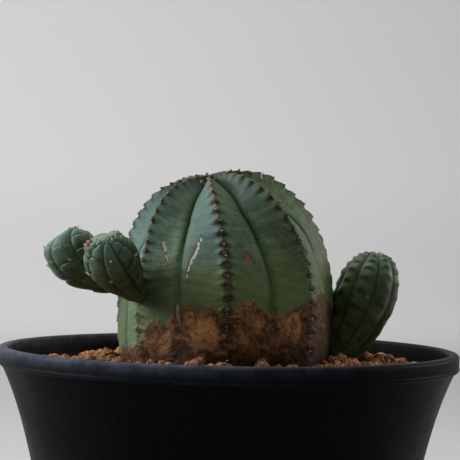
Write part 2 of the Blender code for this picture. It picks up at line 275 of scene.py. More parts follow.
def makeWaxySkin():
    # Plant skin: green mottling, a pale wax bloom where the bloom input is high (partly painted light),
    # fine bands across the growth
    takes = [("Place", "Vector", None), ("Along", "Float", 0.0), ("Bloom and light", "Float", 0.5),
             ("Deep", "Color", colour(0.02, 0.05, 0.02)), ("Green", "Color", colour(0.06, 0.13, 0.06)),
             ("Wax", "Color", colour(0.2, 0.33, 0.3)), ("Band", "Float", 0.15)]
    group, given, result = newGroup("waxySkin", takes,
                                    [("Colour", "Color"), ("Height", "Float"), ("Wax left", "Float")])
    place = given["Place"]
    split = put(group, "SeparateXYZ", {0: place}).outputs
    stretched = put(group, "CombineXYZ", {0: times(group, split[0], 170.0),
                                          1: times(group, split[1], 170.0),
                                          2: times(group, given["Along"], 2.1)}).outputs[0]
    bands = noise(group, stretched, 1.0, 3.0, 0.62, 0.3)
    patches = noise(group, place, 130.0, 4.0, 0.55, 0.6)
    blotches = noise(group, place, 520.0, 3.0, 0.6, 0.5)
    specks = noise(group, place, 2100.0, 2.0, 0.6)
    rubbed = noise(group, place, 420.0, 4.0, 0.65, 0.4)
    left = plus(group, given["Bloom and light"], swing(group, rubbed, 0.75))
    left = plus(group, left, swing(group, bands, 0.5))
    left = ramped(group, left, 0.02, 1.02)
    mixed = plus(group, times(group, patches, 0.6), times(group, blotches, 0.4))
    base = tint(group, ramped(group, mixed, 0.36, 0.64), given["Deep"], given["Green"])
    base = tint(group, left, base, given["Wax"])
    shade = swing(group, bands, given["Band"])
    shade = plus(group, shade, swing(group, specks, 0.5))
    bright = plus(group, 1.0, times(group, shade, 2.0))
    scaled = put(group, "VectorMath", {0: base, "Scale": bright}, operation="SCALE").outputs[0]
    group.links.new(scaled, result["Colour"])
    height = plus(group, times(group, bands, 0.7), times(group, specks, 0.25))
    group.links.new(height, result["Height"])
    group.links.new(left, result["Wax left"])
    return group


def makeCrumb():
    # Crumbly grains: small rounded cells with pitted gaps, broken up by noise
    takes = [("Place", "Vector", None), ("Scale", "Float", 900.0)]
    group, given, result = newGroup("crumb", takes, [("Relief light", "Float"), ("Height", "Float")])
    wobble = put(group, "TexNoise", {"Vector": given["Place"], "Scale": given["Scale"],
                                     "Detail": 3.0}).outputs[1]
    moved = put(group, "VectorMath", {0: wobble, "Scale": 0.0007}, operation="SCALE").outputs[0]
    moved = put(group, "VectorMath", {0: given["Place"], 1: moved}, operation="ADD").outputs[0]
    cells = put(group, "TexVoronoi", {"Vector": moved, "Scale": given["Scale"]}).outputs["Distance"]
    fine = put(group, "TexNoise", {"Vector": given["Place"], "Detail": 4.0, "Roughness": 0.7,
                                   "Scale": times(group, given["Scale"], 1.7)}).outputs[0]
    height = minus(group, times(group, fine, 0.8), times(group, cells, 0.9))
    group.links.new(height, result["Height"])
    # The tone follows the height: painted light on the raised crumbs and painted shade in the pits
    group.links.new(ramped(group, height, -0.35, 0.45), result["Relief light"])
    return group


def makeDust():
    # Settled dust: sparse specks gathered in drifts, 0 to 1
    takes = [("Place", "Vector", None), ("Speck scale", "Float", 1800.0), ("Amount", "Float", 0.5)]
    group, given, result = newGroup("dust", takes, [("Mask", "Float")])
    specks = put(group, "TexNoise", {"Vector": given["Place"], "Scale": given["Speck scale"], "Detail": 2.0,
                                     "Roughness": 0.6}).outputs[0]
    drifts = noise(group, given["Place"], 90.0, 4.0, 0.6, 0.5)
    gathered = plus(group, specks, swing(group, drifts, 0.5))
    low = minus(group, 0.86, times(group, given["Amount"], 0.42))
    mask = ramped(group, gathered, low, plus(group, low, 0.2))
    group.links.new(times(group, mask, given["Amount"]), result["Mask"])
    return group


waxySkin = makeWaxySkin()
crumb = makeCrumb()
dust = makeDust()
print("shared effects made")


# ---- the pot

pot = {
    "height": 0.095, "rim": 0.060, "foot": 0.038, "wall": 0.0015,
    "lipHeight": 0.0044, "lipProud": 0.0009, "lipWidth": 0.0028, "lipRound": 0.0011,
    "flare": 0.0041, "flareLength": 0.013, "floor": 0.002, "footRing": 0.0035, "footRingHeight": 0.003,
    "slots": 8, "slotWidth": 0.003, "slotLength": 0.015, "slotStart": 0.008, "slotColumns": 12,
    "columns": 384, "seamDepth": 0.00008, "seamRise": 0.0009,
    "plastic": colour(0.0012, 0.0012, 0.0013), "wornPlastic": colour(0.0022, 0.0022, 0.0024),
    "dustColour": colour(0.06, 0.06, 0.063), "sheenAndScuffColour": colour(0.066, 0.078, 0.105),
}
lipBase = pot["height"] - pot["lipHeight"]


def potOuter(height):
    # A straight taper from the foot plus a flare that grows towards the lip
    taper = (pot["rim"] - pot["lipProud"] - pot["flare"] - pot["foot"]) / lipBase
    return pot["foot"] + taper * height + pot["flare"] * np.exp((height - lipBase) / pot["flareLength"])


def potInner(height):
    return np.minimum(potOuter(np.minimum(height, lipBase)) - pot["wall"], pot["rim"] - pot["lipWidth"])


def bend(centre, radius, first, last, count):
    # Part of a circle in the profile's plane, angles in degrees from outwards towards up
    angles = np.radians(np.linspace(first, last, count))
    return np.stack([centre[0] + radius * np.cos(angles), centre[1] + radius * np.sin(angles)], axis=-1)


def potProfile():
    # From the middle of the underside out, up the wall, over the lip and down inside to the floor's middle.
    # Also returns which rings bound the slots, on the underside and on the floor.
    rim, top, turn = pot["rim"], pot["height"], pot["lipRound"]
    floorTop = pot["footRingHeight"] + pot["floor"]
    slotRadii = np.linspace(pot["slotStart"], pot["slotStart"] + pot["slotLength"], 9)
    underRadii = np.concatenate([[0.0, 0.004], slotRadii,
                                 np.linspace(0.0245, pot["foot"] - pot["footRing"], 4)])
    under = np.stack([underRadii, np.full(len(underRadii), pot["footRingHeight"])], axis=-1)
    foot = np.array([(pot["foot"] - pot["footRing"], 0.0006),
                     (pot["foot"] - pot["footRing"] + 0.0006, 0.0)])
    footRound = bend((pot["foot"] - 0.0008, 0.0008), 0.0008, 270, 350, 5)
    heights = 0.0009 + (lipBase - 0.0012) * (1 - (1 - np.linspace(0, 1, 64)) ** 1.4)
    wall = np.stack([potOuter(heights), heights], axis=-1)
    # Under the lip: a small cove, then the lip's lower edge with a fine moulding seam above it
    seam = lipBase + pot["seamRise"]
    depth = pot["seamDepth"]
    edge = np.array([
        (rim - pot["lipProud"] - 0.00012, lipBase - 0.0002),
        (rim - pot["lipProud"] * 0.45, lipBase - 0.00015),
        (rim - 0.00016, lipBase + 0.00005), (rim - 0.00002, lipBase + 0.0003), (rim, lipBase + 0.0006),
        (rim - 0.00002, seam - 0.00012), (rim - depth, seam - 0.00004), (rim - depth, seam + 0.00006),
        (rim - 0.0001, seam + 0.00016), (rim - 0.00006, seam + 0.0006), (rim - 0.00004, seam + 0.0014)])
    over = bend((rim - turn, top - turn), turn - 0.00003, 4, 90, 9)
    inside = bend((rim - pot["lipWidth"] + turn * 0.8, top - turn * 0.8), turn * 0.8, 90, 180, 8)
    lipInside = rim - pot["lipWidth"]
    step = np.array([(lipInside, top - 0.0026), (lipInside - 0.00012, top - 0.0042)])
    innerHeights = floorTop + 0.001 + (lipBase - 0.0012 - floorTop) * (1 - np.linspace(0, 1, 40) ** 1.4)
    innerWall = np.stack([potInner(innerHeights) - 0.00013, innerHeights], axis=-1)
    innerFoot = bend((potInner(floorTop) - 0.0012, floorTop + 0.001), 0.001, 350, 270, 5)
    floorRadii = np.concatenate([np.linspace(0.0345, 0.0245, 4), slotRadii[::-1], [0.004, 0.0]])
    floor = np.stack([floorRadii, np.full(len(floorRadii), floorTop)], axis=-1)
    parts = [under, foot, footRound, wall, edge, over, inside, step, innerWall, innerFoot, floor]
    profile = np.concatenate(parts)
    underFirst, floorFirst = 2, len(profile) - 2 - len(slotRadii)
    return profile, underFirst, floorFirst, len(slotRadii)


def makePotMesh():
    profile, underFirst, floorFirst, slotRings = potProfile()
    columns = pot["columns"]
    radius, height = profile[:, :1], profile[:, 1:]
    # Near the slots the columns close in, so that a slot keeps its width all along its length
    perSlot = columns / pot["slots"]
    share = np.arange(columns) / perSlot % 1.0 - 0.5
    centre = (np.floor(np.arange(columns) / perSlot) + 0.5) * 2 * math.pi / pot["slots"]
    half = pot["slotColumns"] / 2 / perSlot
    inner = np.arcsin(np.clip(pot["slotWidth"] / 2 / np.maximum(radius, 0.0048), -1, 1))
    sector = math.pi / pot["slots"]
    outside = inner + (np.abs(share) - half) / (0.5 - half) * (sector - inner)
    narrowed = np.where(np.abs(share) <= half, np.abs(share) / half * inner, outside) * np.sign(share)
    plain = share * 2 * sector
    near = softStep(0.034, 0.026, radius) * (height <= pot["footRingHeight"] + pot["floor"] + 1e-6)
    angle = centre + plain * (1 - near) + narrowed * near
    points = np.stack(np.broadcast_arrays(radius * np.cos(angle), -radius * np.sin(angle), height), axis=-1)
    # The slots: the faces between their rings and columns go, and walls join the underside to the floor
    rows = len(profile)
    ring = ballFaces(rows, columns)[0]
    slotted = np.abs(share + 0.5 / perSlot) < half - 1e-9
    row = np.arange(rows - 3)
    underRow = (row >= underFirst - 1) & (row < underFirst + slotRings - 2)
    floorRow = (row >= floorFirst - 1) & (row < floorFirst + slotRings - 2)
    keep = ~((underRow | floorRow)[:, None] & slotted[None, :])
    starts = np.flatnonzero(slotted & ~np.roll(slotted, 1))
    width = pot["slotColumns"]
    # Once round a slot's edge: out along one side, across, back along the other, across
    rimRow = np.concatenate([np.arange(slotRings), np.full(width, slotRings - 1),
                             np.arange(slotRings - 2, -1, -1), np.zeros(width - 1, int)])
    rimColumn = np.concatenate([np.zeros(slotRings, int), np.arange(1, width + 1),
                                np.full(slotRings - 1, width), np.arange(width - 1, 0, -1)])
    across = (starts[:, None] + rimColumn) % columns
    low = ring[underFirst - 1 + rimRow, across]
    high = ring[floorFirst + slotRings - 2 - rimRow, across]
    walls = np.stack([low, np.roll(low, -1, axis=1), np.roll(high, -1, axis=1), high], axis=-1)
    # 1 on the lip's upper face, more so at the left: painted sheen where the window light glances off it
    outer = np.hypot(points[..., 0], points[..., 1])
    lip = softStep(lipBase - 0.0003, lipBase + 0.0006, points[..., 2]) * softStep(0.0555, 0.0575, outer)
    upward = softStep(pot["height"] - 0.0030, pot["height"] - 0.0003, points[..., 2])
    towardsWindow = 0.12 + 0.88 * softStep(0.045, -0.030, points[..., 0])
    return ballGrid("flowerpot", points, {"lipSheenAndScuffAt": lip * (0.18 + 0.82 * upward) * towardsWindow}, keep,
                    walls.reshape(-1, 4))


def makePotPlastic():
    material, tree, shader = newMaterial("blackPotPlastic", Specular_IOR_Level=0.04, Sheen_Weight=0.03,
                                         Sheen_Roughness=0.3)
    place = objectPlace(tree)
    dusty = useGroup(tree, dust, {"Place": place, "Speck scale": 1500.0, "Amount": 0.55})["Mask"]
    worn = noise(tree, place, 70.0, 5.0, 0.6, 0.8)
    grain = noise(tree, place, 2600.0, 2.0, 0.5)
    base = tint(tree, ramped(tree, worn, 0.35, 0.7), pot["plastic"], pot["wornPlastic"])
    # Painted sheen of the window light on the lip's upper face, broken up like scuffs
    scuffedSheen = ramped(tree, noise(tree, place, 260.0, 4.0, 0.7), 0.3, 0.7, 0.45, 1.2)
    base = tint(tree, times(tree, markOf(tree, "lipSheenAndScuffAt"), scuffedSheen), base, pot["sheenAndScuffColour"])
    speckled = ramped(tree, noise(tree, place, 1900.0, 2.0, 0.6), 0.5, 0.72)
    base = tint(tree, times(tree, plus(tree, dusty, speckled), 0.09), base, pot["dustColour"])
    tree.links.new(base, shader["Base Color"])
    rough = plus(tree, ramped(tree, worn, 0.3, 0.7, 0.44, 0.56), times(tree, dusty, 0.25))
    tree.links.new(rough, shader["Roughness"])
    height = plus(tree, grain, times(tree, noise(tree, place, 500.0, 2.0), 0.6))
    addBump(tree, shader, height, 0.35, 0.00008)
    return material


addPiece("flowerpot", makePotMesh(), makePotPlastic(), ["pot"])


# ---- the main stem

stem = {
    "radius": 0.0575 / 2, "centre": np.array((-0.0004, -0.0015, 0.1085)), "lean": 10.0, "nod": 7.0,
    "ribAzimuths": (0, 47.5, 99, 142, 186, 230, 271, 308.5),
    "crestOutline": ((0, 1.115), (12, 1.145), (24, 1.16), (40, 1.11), (60, 1.03), (80, 1.0), (100, 1.02),
                     (125, 1.14), (150, 1.2), (180, 1.22)),
    "furrowDepth": ((0, 0.03), (12, 0.12), (35, 0.16), (60, 0.11), (85, 0.075), (110, 0.05), (180, 0.03)),
    "flankCrown": 0.012, "furrowDrift": 0.2, "drawnInAt": 95, "drawnIn": 0.028,
    "columnsPerRib": 48, "rowsAbove": 216, "rowsBelow": 12, "lowestSeen": 127.0,
    # Where the eyes sit down a rib, from the crown, in degrees
    "eyes": (2.0, 5.5, 9.0, 13.0, 17.5, 22.5, 28.0, 34.0, 39.5, 45.5, 51.8, 58.0, 63.0, 69.5, 75.5, 81.5,
             88.0, 95.0, 102.5, 110.0, 118.0, 126.0, 134.0),
    "eyeShift": (0.0, 0.45, 0.1, 0.6, 0.3, 0.8, 0.2, 0.55),
    "toothHeight": ((0, 0.0), (8, 0.14), (20, 0.36), (35, 0.6), (60, 0.6), (75, 0.45), (95, 0.3),
                    (115, 0.2),
                    (135, 0.0)),
    "toothWidth": 0.00155, "toothPeak": 0.72,
    # Uneven growth: wavelength in m, height in mm
    "lumps": ((0.012, 0.16), (0.0035, 0.045)),
    "furrowCut": ((0, 0.0), (10, 0.25), (25, 0.6), (52, 0.55), (70, 0.25), (88, 0.10), (180, 0.05)),
    # Lower edge of the green skin, by rib place and angle from the crown
    "corkEdge": ((0.07, 95), (0.18, 88.5), (0.26, 88), (0.37, 93), (0.53, 97), (0.65, 96), (0.83, 93),
                 (0.95, 92), (1.11, 87), (1.26, 85), (1.57, 90), (2.1, 97), (2.6, 101), (3.1, 112),
                 (3.7, 104), (4.3, 117), (4.9, 109), (5.5, 117), (6.0, 119), (6.4, 114), (6.83, 115),
                 (7.03, 110), (7.12, 103), (7.21, 101), (7.36, 102), (7.49, 96), (7.59, 94),
                 (7.71, 93), (7.87, 94)),
    # Healed splits: points as (angle from the crown, rib place), half width in mm, tone
    "scars": (
        (((51.5, 7.20), (53.5, 7.21), (56.0, 7.24), (60.5, 7.27)), 0.46, 0.35),
        (((59.7, 7.27), (62.0, 7.285), (64.0, 7.31), (67.0, 7.325), (71.0, 7.36)), 0.28, 0.0),
        (((49.5, 7.765), (53.0, 7.745), (55.5, 7.712), (58.5, 7.70), (61.5, 7.672), (64.0, 7.64),
          (66.5, 7.622),
          (71.0, 7.597), (77.3, 7.575)), 0.42, 0.6),
        (((60.7, 0.24), (63.0, 0.25), (65.0, 0.29), (66.5, 0.30), (68.8, 0.34)), 0.55, 1.0),
        (((92.0, 7.50), (95.0, 7.495), (99.0, 7.505), (104.0, 7.53)), 0.5, 0.2),
        (((93.5, 0.52), (97.5, 0.53)), 0.45, 1.0),
    ),
    # Wax bloom on each rib's left and right flank, partly painted light: the flanks that face the window on
    # the left get more
    "wax": ((0.50, 0.30), (0.15, 0.24), (0.2, 0.3), (0.35, 0.3), (0.35, 0.35), (0.45, 0.4),
            (0.80, 0.52), (0.82, 0.34)),
    # Brighter cork: rib place, angle from the crown, reach in mm, strength
    "warmPatches": ((7.77, 107, 5.0, 1.0), (0.30, 103, 4.0, 0.6), (0.77, 101, 4.2, 0.65),
                    (1.3, 96, 5.0, 0.5), (7.35, 112, 3.0, 0.5), (2.3, 108, 5.0, 0.6),
                    (3.6, 113, 5.0, 0.7), (4.7, 116, 5.0, 0.7)),
    # Darker bluish patches: rib place, half width, angles between which it fades, strength
    "coolPatches": ((0.78, 0.26, 28, 62, 1.0), (7.74, 0.2, 58, 80, 0.55)),
    # Painted shadow of the front left offset: rib place and half width
    "paintedOffsetShadowPatch": (7.2, 0.2),
    "seed": 21,
}
stemColours = {
    "deep": colour(0.068, 0.098, 0.035), "green": colour(0.132, 0.190, 0.075),
    "wax": colour(0.148, 0.268, 0.268), "crownFlush": colour(0.105, 0.160, 0.175),
    "cool": colour(0.052, 0.086, 0.088), "foot": colour(0.165, 0.222, 0.078),
    "paintedOffsetShadow": colour(0.030, 0.044, 0.024), "stain": colour(0.026, 0.034, 0.016),
    "furrow": colour(0.050, 0.100, 0.036), "paintedFurrowShade": colour(0.014, 0.034, 0.012),
    "corkDark": colour(0.064, 0.029, 0.012), "corkLit": colour(0.70, 0.34, 0.125),
    "corkOlive": colour(0.034, 0.036, 0.014), "corkGreen": colour(0.070, 0.078, 0.028),
    "corkPits": colour(0.028, 0.012, 0.007), "corkGrain": colour(0.58, 0.31, 0.12),
    "corkFibre": colour(0.66, 0.34, 0.15), "corkFoot": colour(0.032, 0.013, 0.008),
    "paintedToothShade": colour(0.018, 0.024, 0.014), "eyeRing": colour(0.024, 0.019, 0.013),
    "eyeRose": colour(0.20, 0.085, 0.062), "splitEdge": colour(0.045, 0.026, 0.017),
    "splitTan": colour(0.50, 0.36, 0.22), "splitPale": colour(0.90, 0.86, 0.75),
    "splitRust": colour(0.33, 0.12, 0.045),
}


def stemPoints(ribPlace, down, extra=0.0):
    # A lobed ball given by angle from the crown and place among the ribs. Across a rib its skin runs almost
    # straight from crest to furrow, bowed out a little; the crown leans to the left and nods to the front.
    azimuths = np.radians(np.array(stem["ribAzimuths"] + (stem["ribAzimuths"][0] + 360,), dtype=float))
    place = np.mod(ribPlace, 8)
    whole = np.floor(place).astype(int)
    part = place - whole
    spacing = azimuths[whole + 1] - azimuths[whole]
    # Towards the crown the front rib's right furrow swings outwards
    drift = stem["furrowDrift"] * hill(place, 0.5, 0.27) * (1 - softStep(12, 36, down))
    drift = drift - 0.03 * hill(place, 7.5, 0.27)
    azimuth = azimuths[whole] + (part + drift) * spacing
    fromCrest = np.minimum(part, 1 - part) * 2
    half = spacing / 2
    crest = stem["radius"] * curveThrough(stem["crestOutline"], down)
    # One side draws in below its middle, where the right offset leans on it
    facing = np.mod(np.degrees(azimuth) - stem["drawnInAt"] + 180, 360) - 180
    crest = crest * (1 - stem["drawnIn"] * softStep(50, 82, down) * hill(facing, 0, 35))
    furrow = crest * (1 - curveThrough(stem["furrowDepth"], down))
    alpha = fromCrest * half
    flank = np.sin(half) / (np.sin(half - alpha) / crest + np.sin(alpha) / furrow)
    flank = flank * (1 + stem["flankCrown"] * np.sin(np.pi * fromCrest)) + extra
    phi = np.radians(down)
    x = flank * np.sin(phi) * np.sin(azimuth)
    y = -flank * np.sin(phi) * np.cos(azimuth)
    z = flank * np.cos(phi)
    share = np.clip(np.cos(phi), 0, 1)
    lean, nod = np.radians(stem["lean"]) * share, np.radians(stem["nod"]) * share
    x, z = x * np.cos(lean) - z * np.sin(lean), x * np.sin(lean) + z * np.cos(lean)
    y, z = y * np.cos(nod) - z * np.sin(nod), y * np.sin(nod) + z * np.cos(nod)
    return stem["centre"] + np.stack([x, y, z], axis=-1)


def eyeNumber(rib, down):
    # How many eyes lie above this angle on this rib, as a running number that is whole at each eye
    eyes = np.array(stem["eyes"])
    return np.interp(down, eyes, np.arange(len(eyes))) - stem["eyeShift"][rib]


def eyeAngles(rib):
    eyes = np.array(stem["eyes"])
    numbers = np.arange(len(eyes)) + stem["eyeShift"][rib]
    return np.interp(numbers[numbers <= len(eyes) - 1], np.arange(len(eyes)), eyes)


def eyeScatter(rib):
    # How far in mm each eye strays sideways, and how wide its scar is drawn out: more towards the foot
    angles = eyeAngles(rib)
    rng = np.random.default_rng(stem["seed"] + 10 + rib)
    age = softStep(45, 85, angles)
    return rng.normal(0, 0.10 + 0.26 * age), 1 + rng.uniform(0.3, 1.3, len(angles)) * age


def distanceToSplit(points, halfWidth, ribPlace, down, spacing):
    # Distance in mm from the line through the points, less a half width that tapers to both ends
    mmPerDegree = stem["radius"] * 1000 * math.pi / 180
    across = np.radians(spacing) * stem["radius"] * 1000 * np.sin(np.radians(down))
    best = np.full(down.shape, 99.0)
    steps = len(points) - 1
    for index in range(steps):
        (firstDown, firstPlace), (lastDown, lastPlace) = points[index], points[index + 1]
        offset = (ribPlace - firstPlace + 4) % 8 - 4
        px, py = offset * across, (down - firstDown) * mmPerDegree
        dx, dy = (lastPlace - firstPlace) * across, (lastDown - firstDown) * mmPerDegree
        t = np.clip((px * dx + py * dy) / (dx * dx + dy * dy + 1e-9), 0, 1)
        share = (index + t) / steps
        width = halfWidth * (0.12 + 0.88 * np.sin(math.pi * np.clip(share, 0, 1)) ** 0.7)
        best = np.minimum(best, np.hypot(px - t * dx, py - t * dy) - width)
    return best


def makeStemMesh():
    perRib = stem["columnsPerRib"]
    even = np.arange(8 * perRib) / perRib
    # Columns stand closer at the crests and in the furrows
    ribPlace = (even - 0.55 * np.sin(4 * math.pi * even) / (4 * math.pi))[None, :]
    above = np.linspace(0, stem["lowestSeen"], stem["rowsAbove"])
    down = np.concatenate([above, np.linspace(stem["lowestSeen"], 180, stem["rowsBelow"] + 1)[1:]])[:, None]
    ribPlace, down = np.broadcast_arrays(ribPlace, down)
    azimuths = np.array(stem["ribAzimuths"] + (360,), dtype=float)
    whole = np.floor(ribPlace).astype(int) % 8
    spacing = azimuths[whole + 1] - azimuths[whole]
    rib = np.round(ribPlace).astype(int) % 8
    part = ribPlace - np.round(ribPlace)  # minus on a crest's left flank, plus on its right
    reach = stem["radius"] * 1000 * curveThrough(stem["crestOutline"], down)  # mm
    around = np.radians(spacing) * reach * np.sin(np.radians(down))
    crestAt, furrowAt = np.abs(part) * around, (0.5 - np.abs(part)) * around
    mmPerDegree = reach * math.pi / 180
    flat = stemPoints(ribPlace, down)

    # Teeth: each swells slowly down the crest to its eye, then steps back in under it
    number = np.zeros(down.shape)
    for index in range(8):
        number = np.where(rib == index, eyeNumber(index, down), number)
    phase = (number + 0.80) % 1.0
    peak = stem["toothPeak"]
    rising = np.sin(0.5 * math.pi * np.clip(phase / peak, 0, 1)) ** 1.4
    tooth = np.where(phase < peak, rising, 1 - softStep(peak, 1.0, phase))
    tall = curveThrough(stem["toothHeight"], down)
    width = stem["toothWidth"] * 1000 * (0.85 + 0.4 * phase)
    raised = tall * (tooth - 0.5) * np.exp(-((crestAt / width) ** 2.6)) - 0.16 * hill(crestAt, 0, 0.7)
    # Painted shade round and under each tooth's eye, on both sides of the crest, weaker towards the foot
    paintedToothShadeAt = softStep(0.76, 0.90, phase) + softStep(0.30, 0.05, phase)
    paintedToothShadeAt = paintedToothShadeAt * np.exp(-((crestAt / 1.45) ** 3)) * softStep(14, 34, down)
    paintedToothShadeAt = paintedToothShadeAt * (1 - 0.55 * softStep(62, 80, down)) * (1 - softStep(100, 118, down))
    # Furrows: a narrow cut between swollen flanks
    cutDepth = curveThrough(stem["furrowCut"], down)
    raised -= cutDepth * np.exp(-((furrowAt / (0.42 + 0.9 * softStep(48, 68, down))) ** 2))
    raised += 0.28 * cutDepth * hill(furrowAt, 1.9, 1.3)
    # Growth bands across the flanks, one to each eye, bowed down in the middle
    fade = softStep(0.6, 2.2, crestAt) * softStep(0.3, 1.4, furrowAt)
    raised += 0.02 * np.sin(2 * math.pi * (number + 0.1 * crestAt)) * fade * softStep(8, 20, down)
    # Wrinkles that circle the lower front crests
    folds = np.sin(2 * math.pi * (number * 2.2 - 0.035 * crestAt**2))
    low = softStep(80, 92, down) * (1 - softStep(120, 126, down))
    raised += 0.08 * folds * low * hill(crestAt, 0, 3.6) * softStep(0.5, 1.2, crestAt)
    # Uneven growth over the whole ball
    for index, (wavelength, swell) in enumerate(stem["lumps"]):
        raised += swell * unevenness(flat, wavelength, stem["seed"] + index)

    corkTable = np.array(stem["corkEdge"], dtype=float)
    corkPlaces = np.concatenate([corkTable[-1:, 0] - 8, corkTable[:, 0], corkTable[:1, 0] + 8])
    corkDowns = np.concatenate([corkTable[-1:, 1], corkTable[:, 1], corkTable[:1, 1]])
    corkAt = (down - np.interp(np.mod(ribPlace, 8), corkPlaces, corkDowns)) * mmPerDegree
    raised += 0.05 * unevenness(flat, 0.0016, stem["seed"] + 2) * softStep(-0.5, 1.5, corkAt)

    scarAt, scarTone = np.full(down.shape, 9.0), np.zeros(down.shape)
    for points, halfWidth, tone in stem["scars"]:
        distance = distanceToSplit(points, halfWidth, ribPlace, down, spacing)
        scarTone = np.where(distance < scarAt, tone, scarTone)
        scarAt = np.minimum(scarAt, distance)
    raised += 0.10 * hill(scarAt, 0.3, 0.3) - 0.14 * (1 - softStep(-0.2, 0.12, scarAt))

    # Distance in mm from the nearest eye of the crest
    nearest = np.full(down.shape, 99.0)
    signedCrest = np.sign(part) * crestAt
    for index in range(8):
        for angle, shift, stretch in zip(eyeAngles(index), *eyeScatter(index)):
            along = (down - angle) * mmPerDegree
            far = np.hypot(along, (signedCrest - shift) / stretch)
            nearest = np.where(rib == index, np.minimum(nearest, far), nearest)
    old = softStep(52, 66, down) * (1 - softStep(112, 122, down))
    raised += old * (0.16 * hill(nearest, 0.95, 0.3) - 0.2 * hill(nearest, 0, 0.6))
    crown = softStep(1.0, 9.0, down)
    points = stemPoints(ribPlace, down, raised * crown / 1000)

    # Wax bloom, partly real and partly painted light: thick on the flanks that face left towards the
    # window, thin on the right ones, at the foot and by the furrows
    side = softStep(0.05, -0.05, part)  # 1 on a crest's left flank
    wax = np.array(stem["wax"], dtype=float)
    bloomAndLight = wax[rib, 0] * side + wax[rib, 1] * (1 - side)
    bloomAndLight = bloomAndLight * (1 - 0.75 * softStep(56, 90, down)) + 0.03
    bloomAndLight -= 0.22 * hill(furrowAt, 0, 0.8) + 0.10 * hill(crestAt, 0, 0.9)
    # Painted light: more wax low on the left, which faces the window
    bloomAndLight += 0.45 * hill(ribPlace, 6.5, 0.5) * softStep(60, 80, down)  # thicker low on the left
    corkWarmthAndShade = np.zeros(down.shape)
    for place, angle, reachMm, strength in stem["warmPatches"]:
        offset = (ribPlace - place + 4) % 8 - 4
        far = np.hypot(offset * np.radians(spacing) * reach * np.sin(np.radians(down)),
                       (down - angle) * mmPerDegree * 0.8)
        corkWarmthAndShade = np.maximum(corkWarmthAndShade, strength * softStep(reachMm, reachMm * 0.35, far))
    cool = np.zeros(down.shape)
    for place, width, first, last, strength in stem["coolPatches"]:
        cool += strength * hill(ribPlace, place, width) * (1 - softStep(first, last, down))
    # A painted shadow where the front left offset keeps the light off
    paintedOffsetShadow = hill(ribPlace, *stem["paintedOffsetShadowPatch"]) * softStep(64, 76, down) * (1 - softStep(90, 99, down))
    # Painted shade: the cork right of the front rib is darker
    corkWarmthAndShade = corkWarmthAndShade - 0.7 * softStep(0.62, 1.1, ribPlace) * (1 - softStep(1.9, 2.3, ribPlace))
    marks = {"crestAt": crestAt, "furrowAt": furrowAt, "eyeAt": nearest, "corkAt": corkAt, "scarAt": scarAt,
             "scarTone": scarTone, "bloomAndLightAt": bloomAndLight, "alongAt": down * mmPerDegree, "downAt": down,
             "paintedToothShadeAt": paintedToothShadeAt, "corkWarmthAndShadeAt": corkWarmthAndShade, "coolAt": cool, "paintedOffsetShadowAt": paintedOffsetShadow}
    return ballGrid("euphorbia_stem", points, marks)


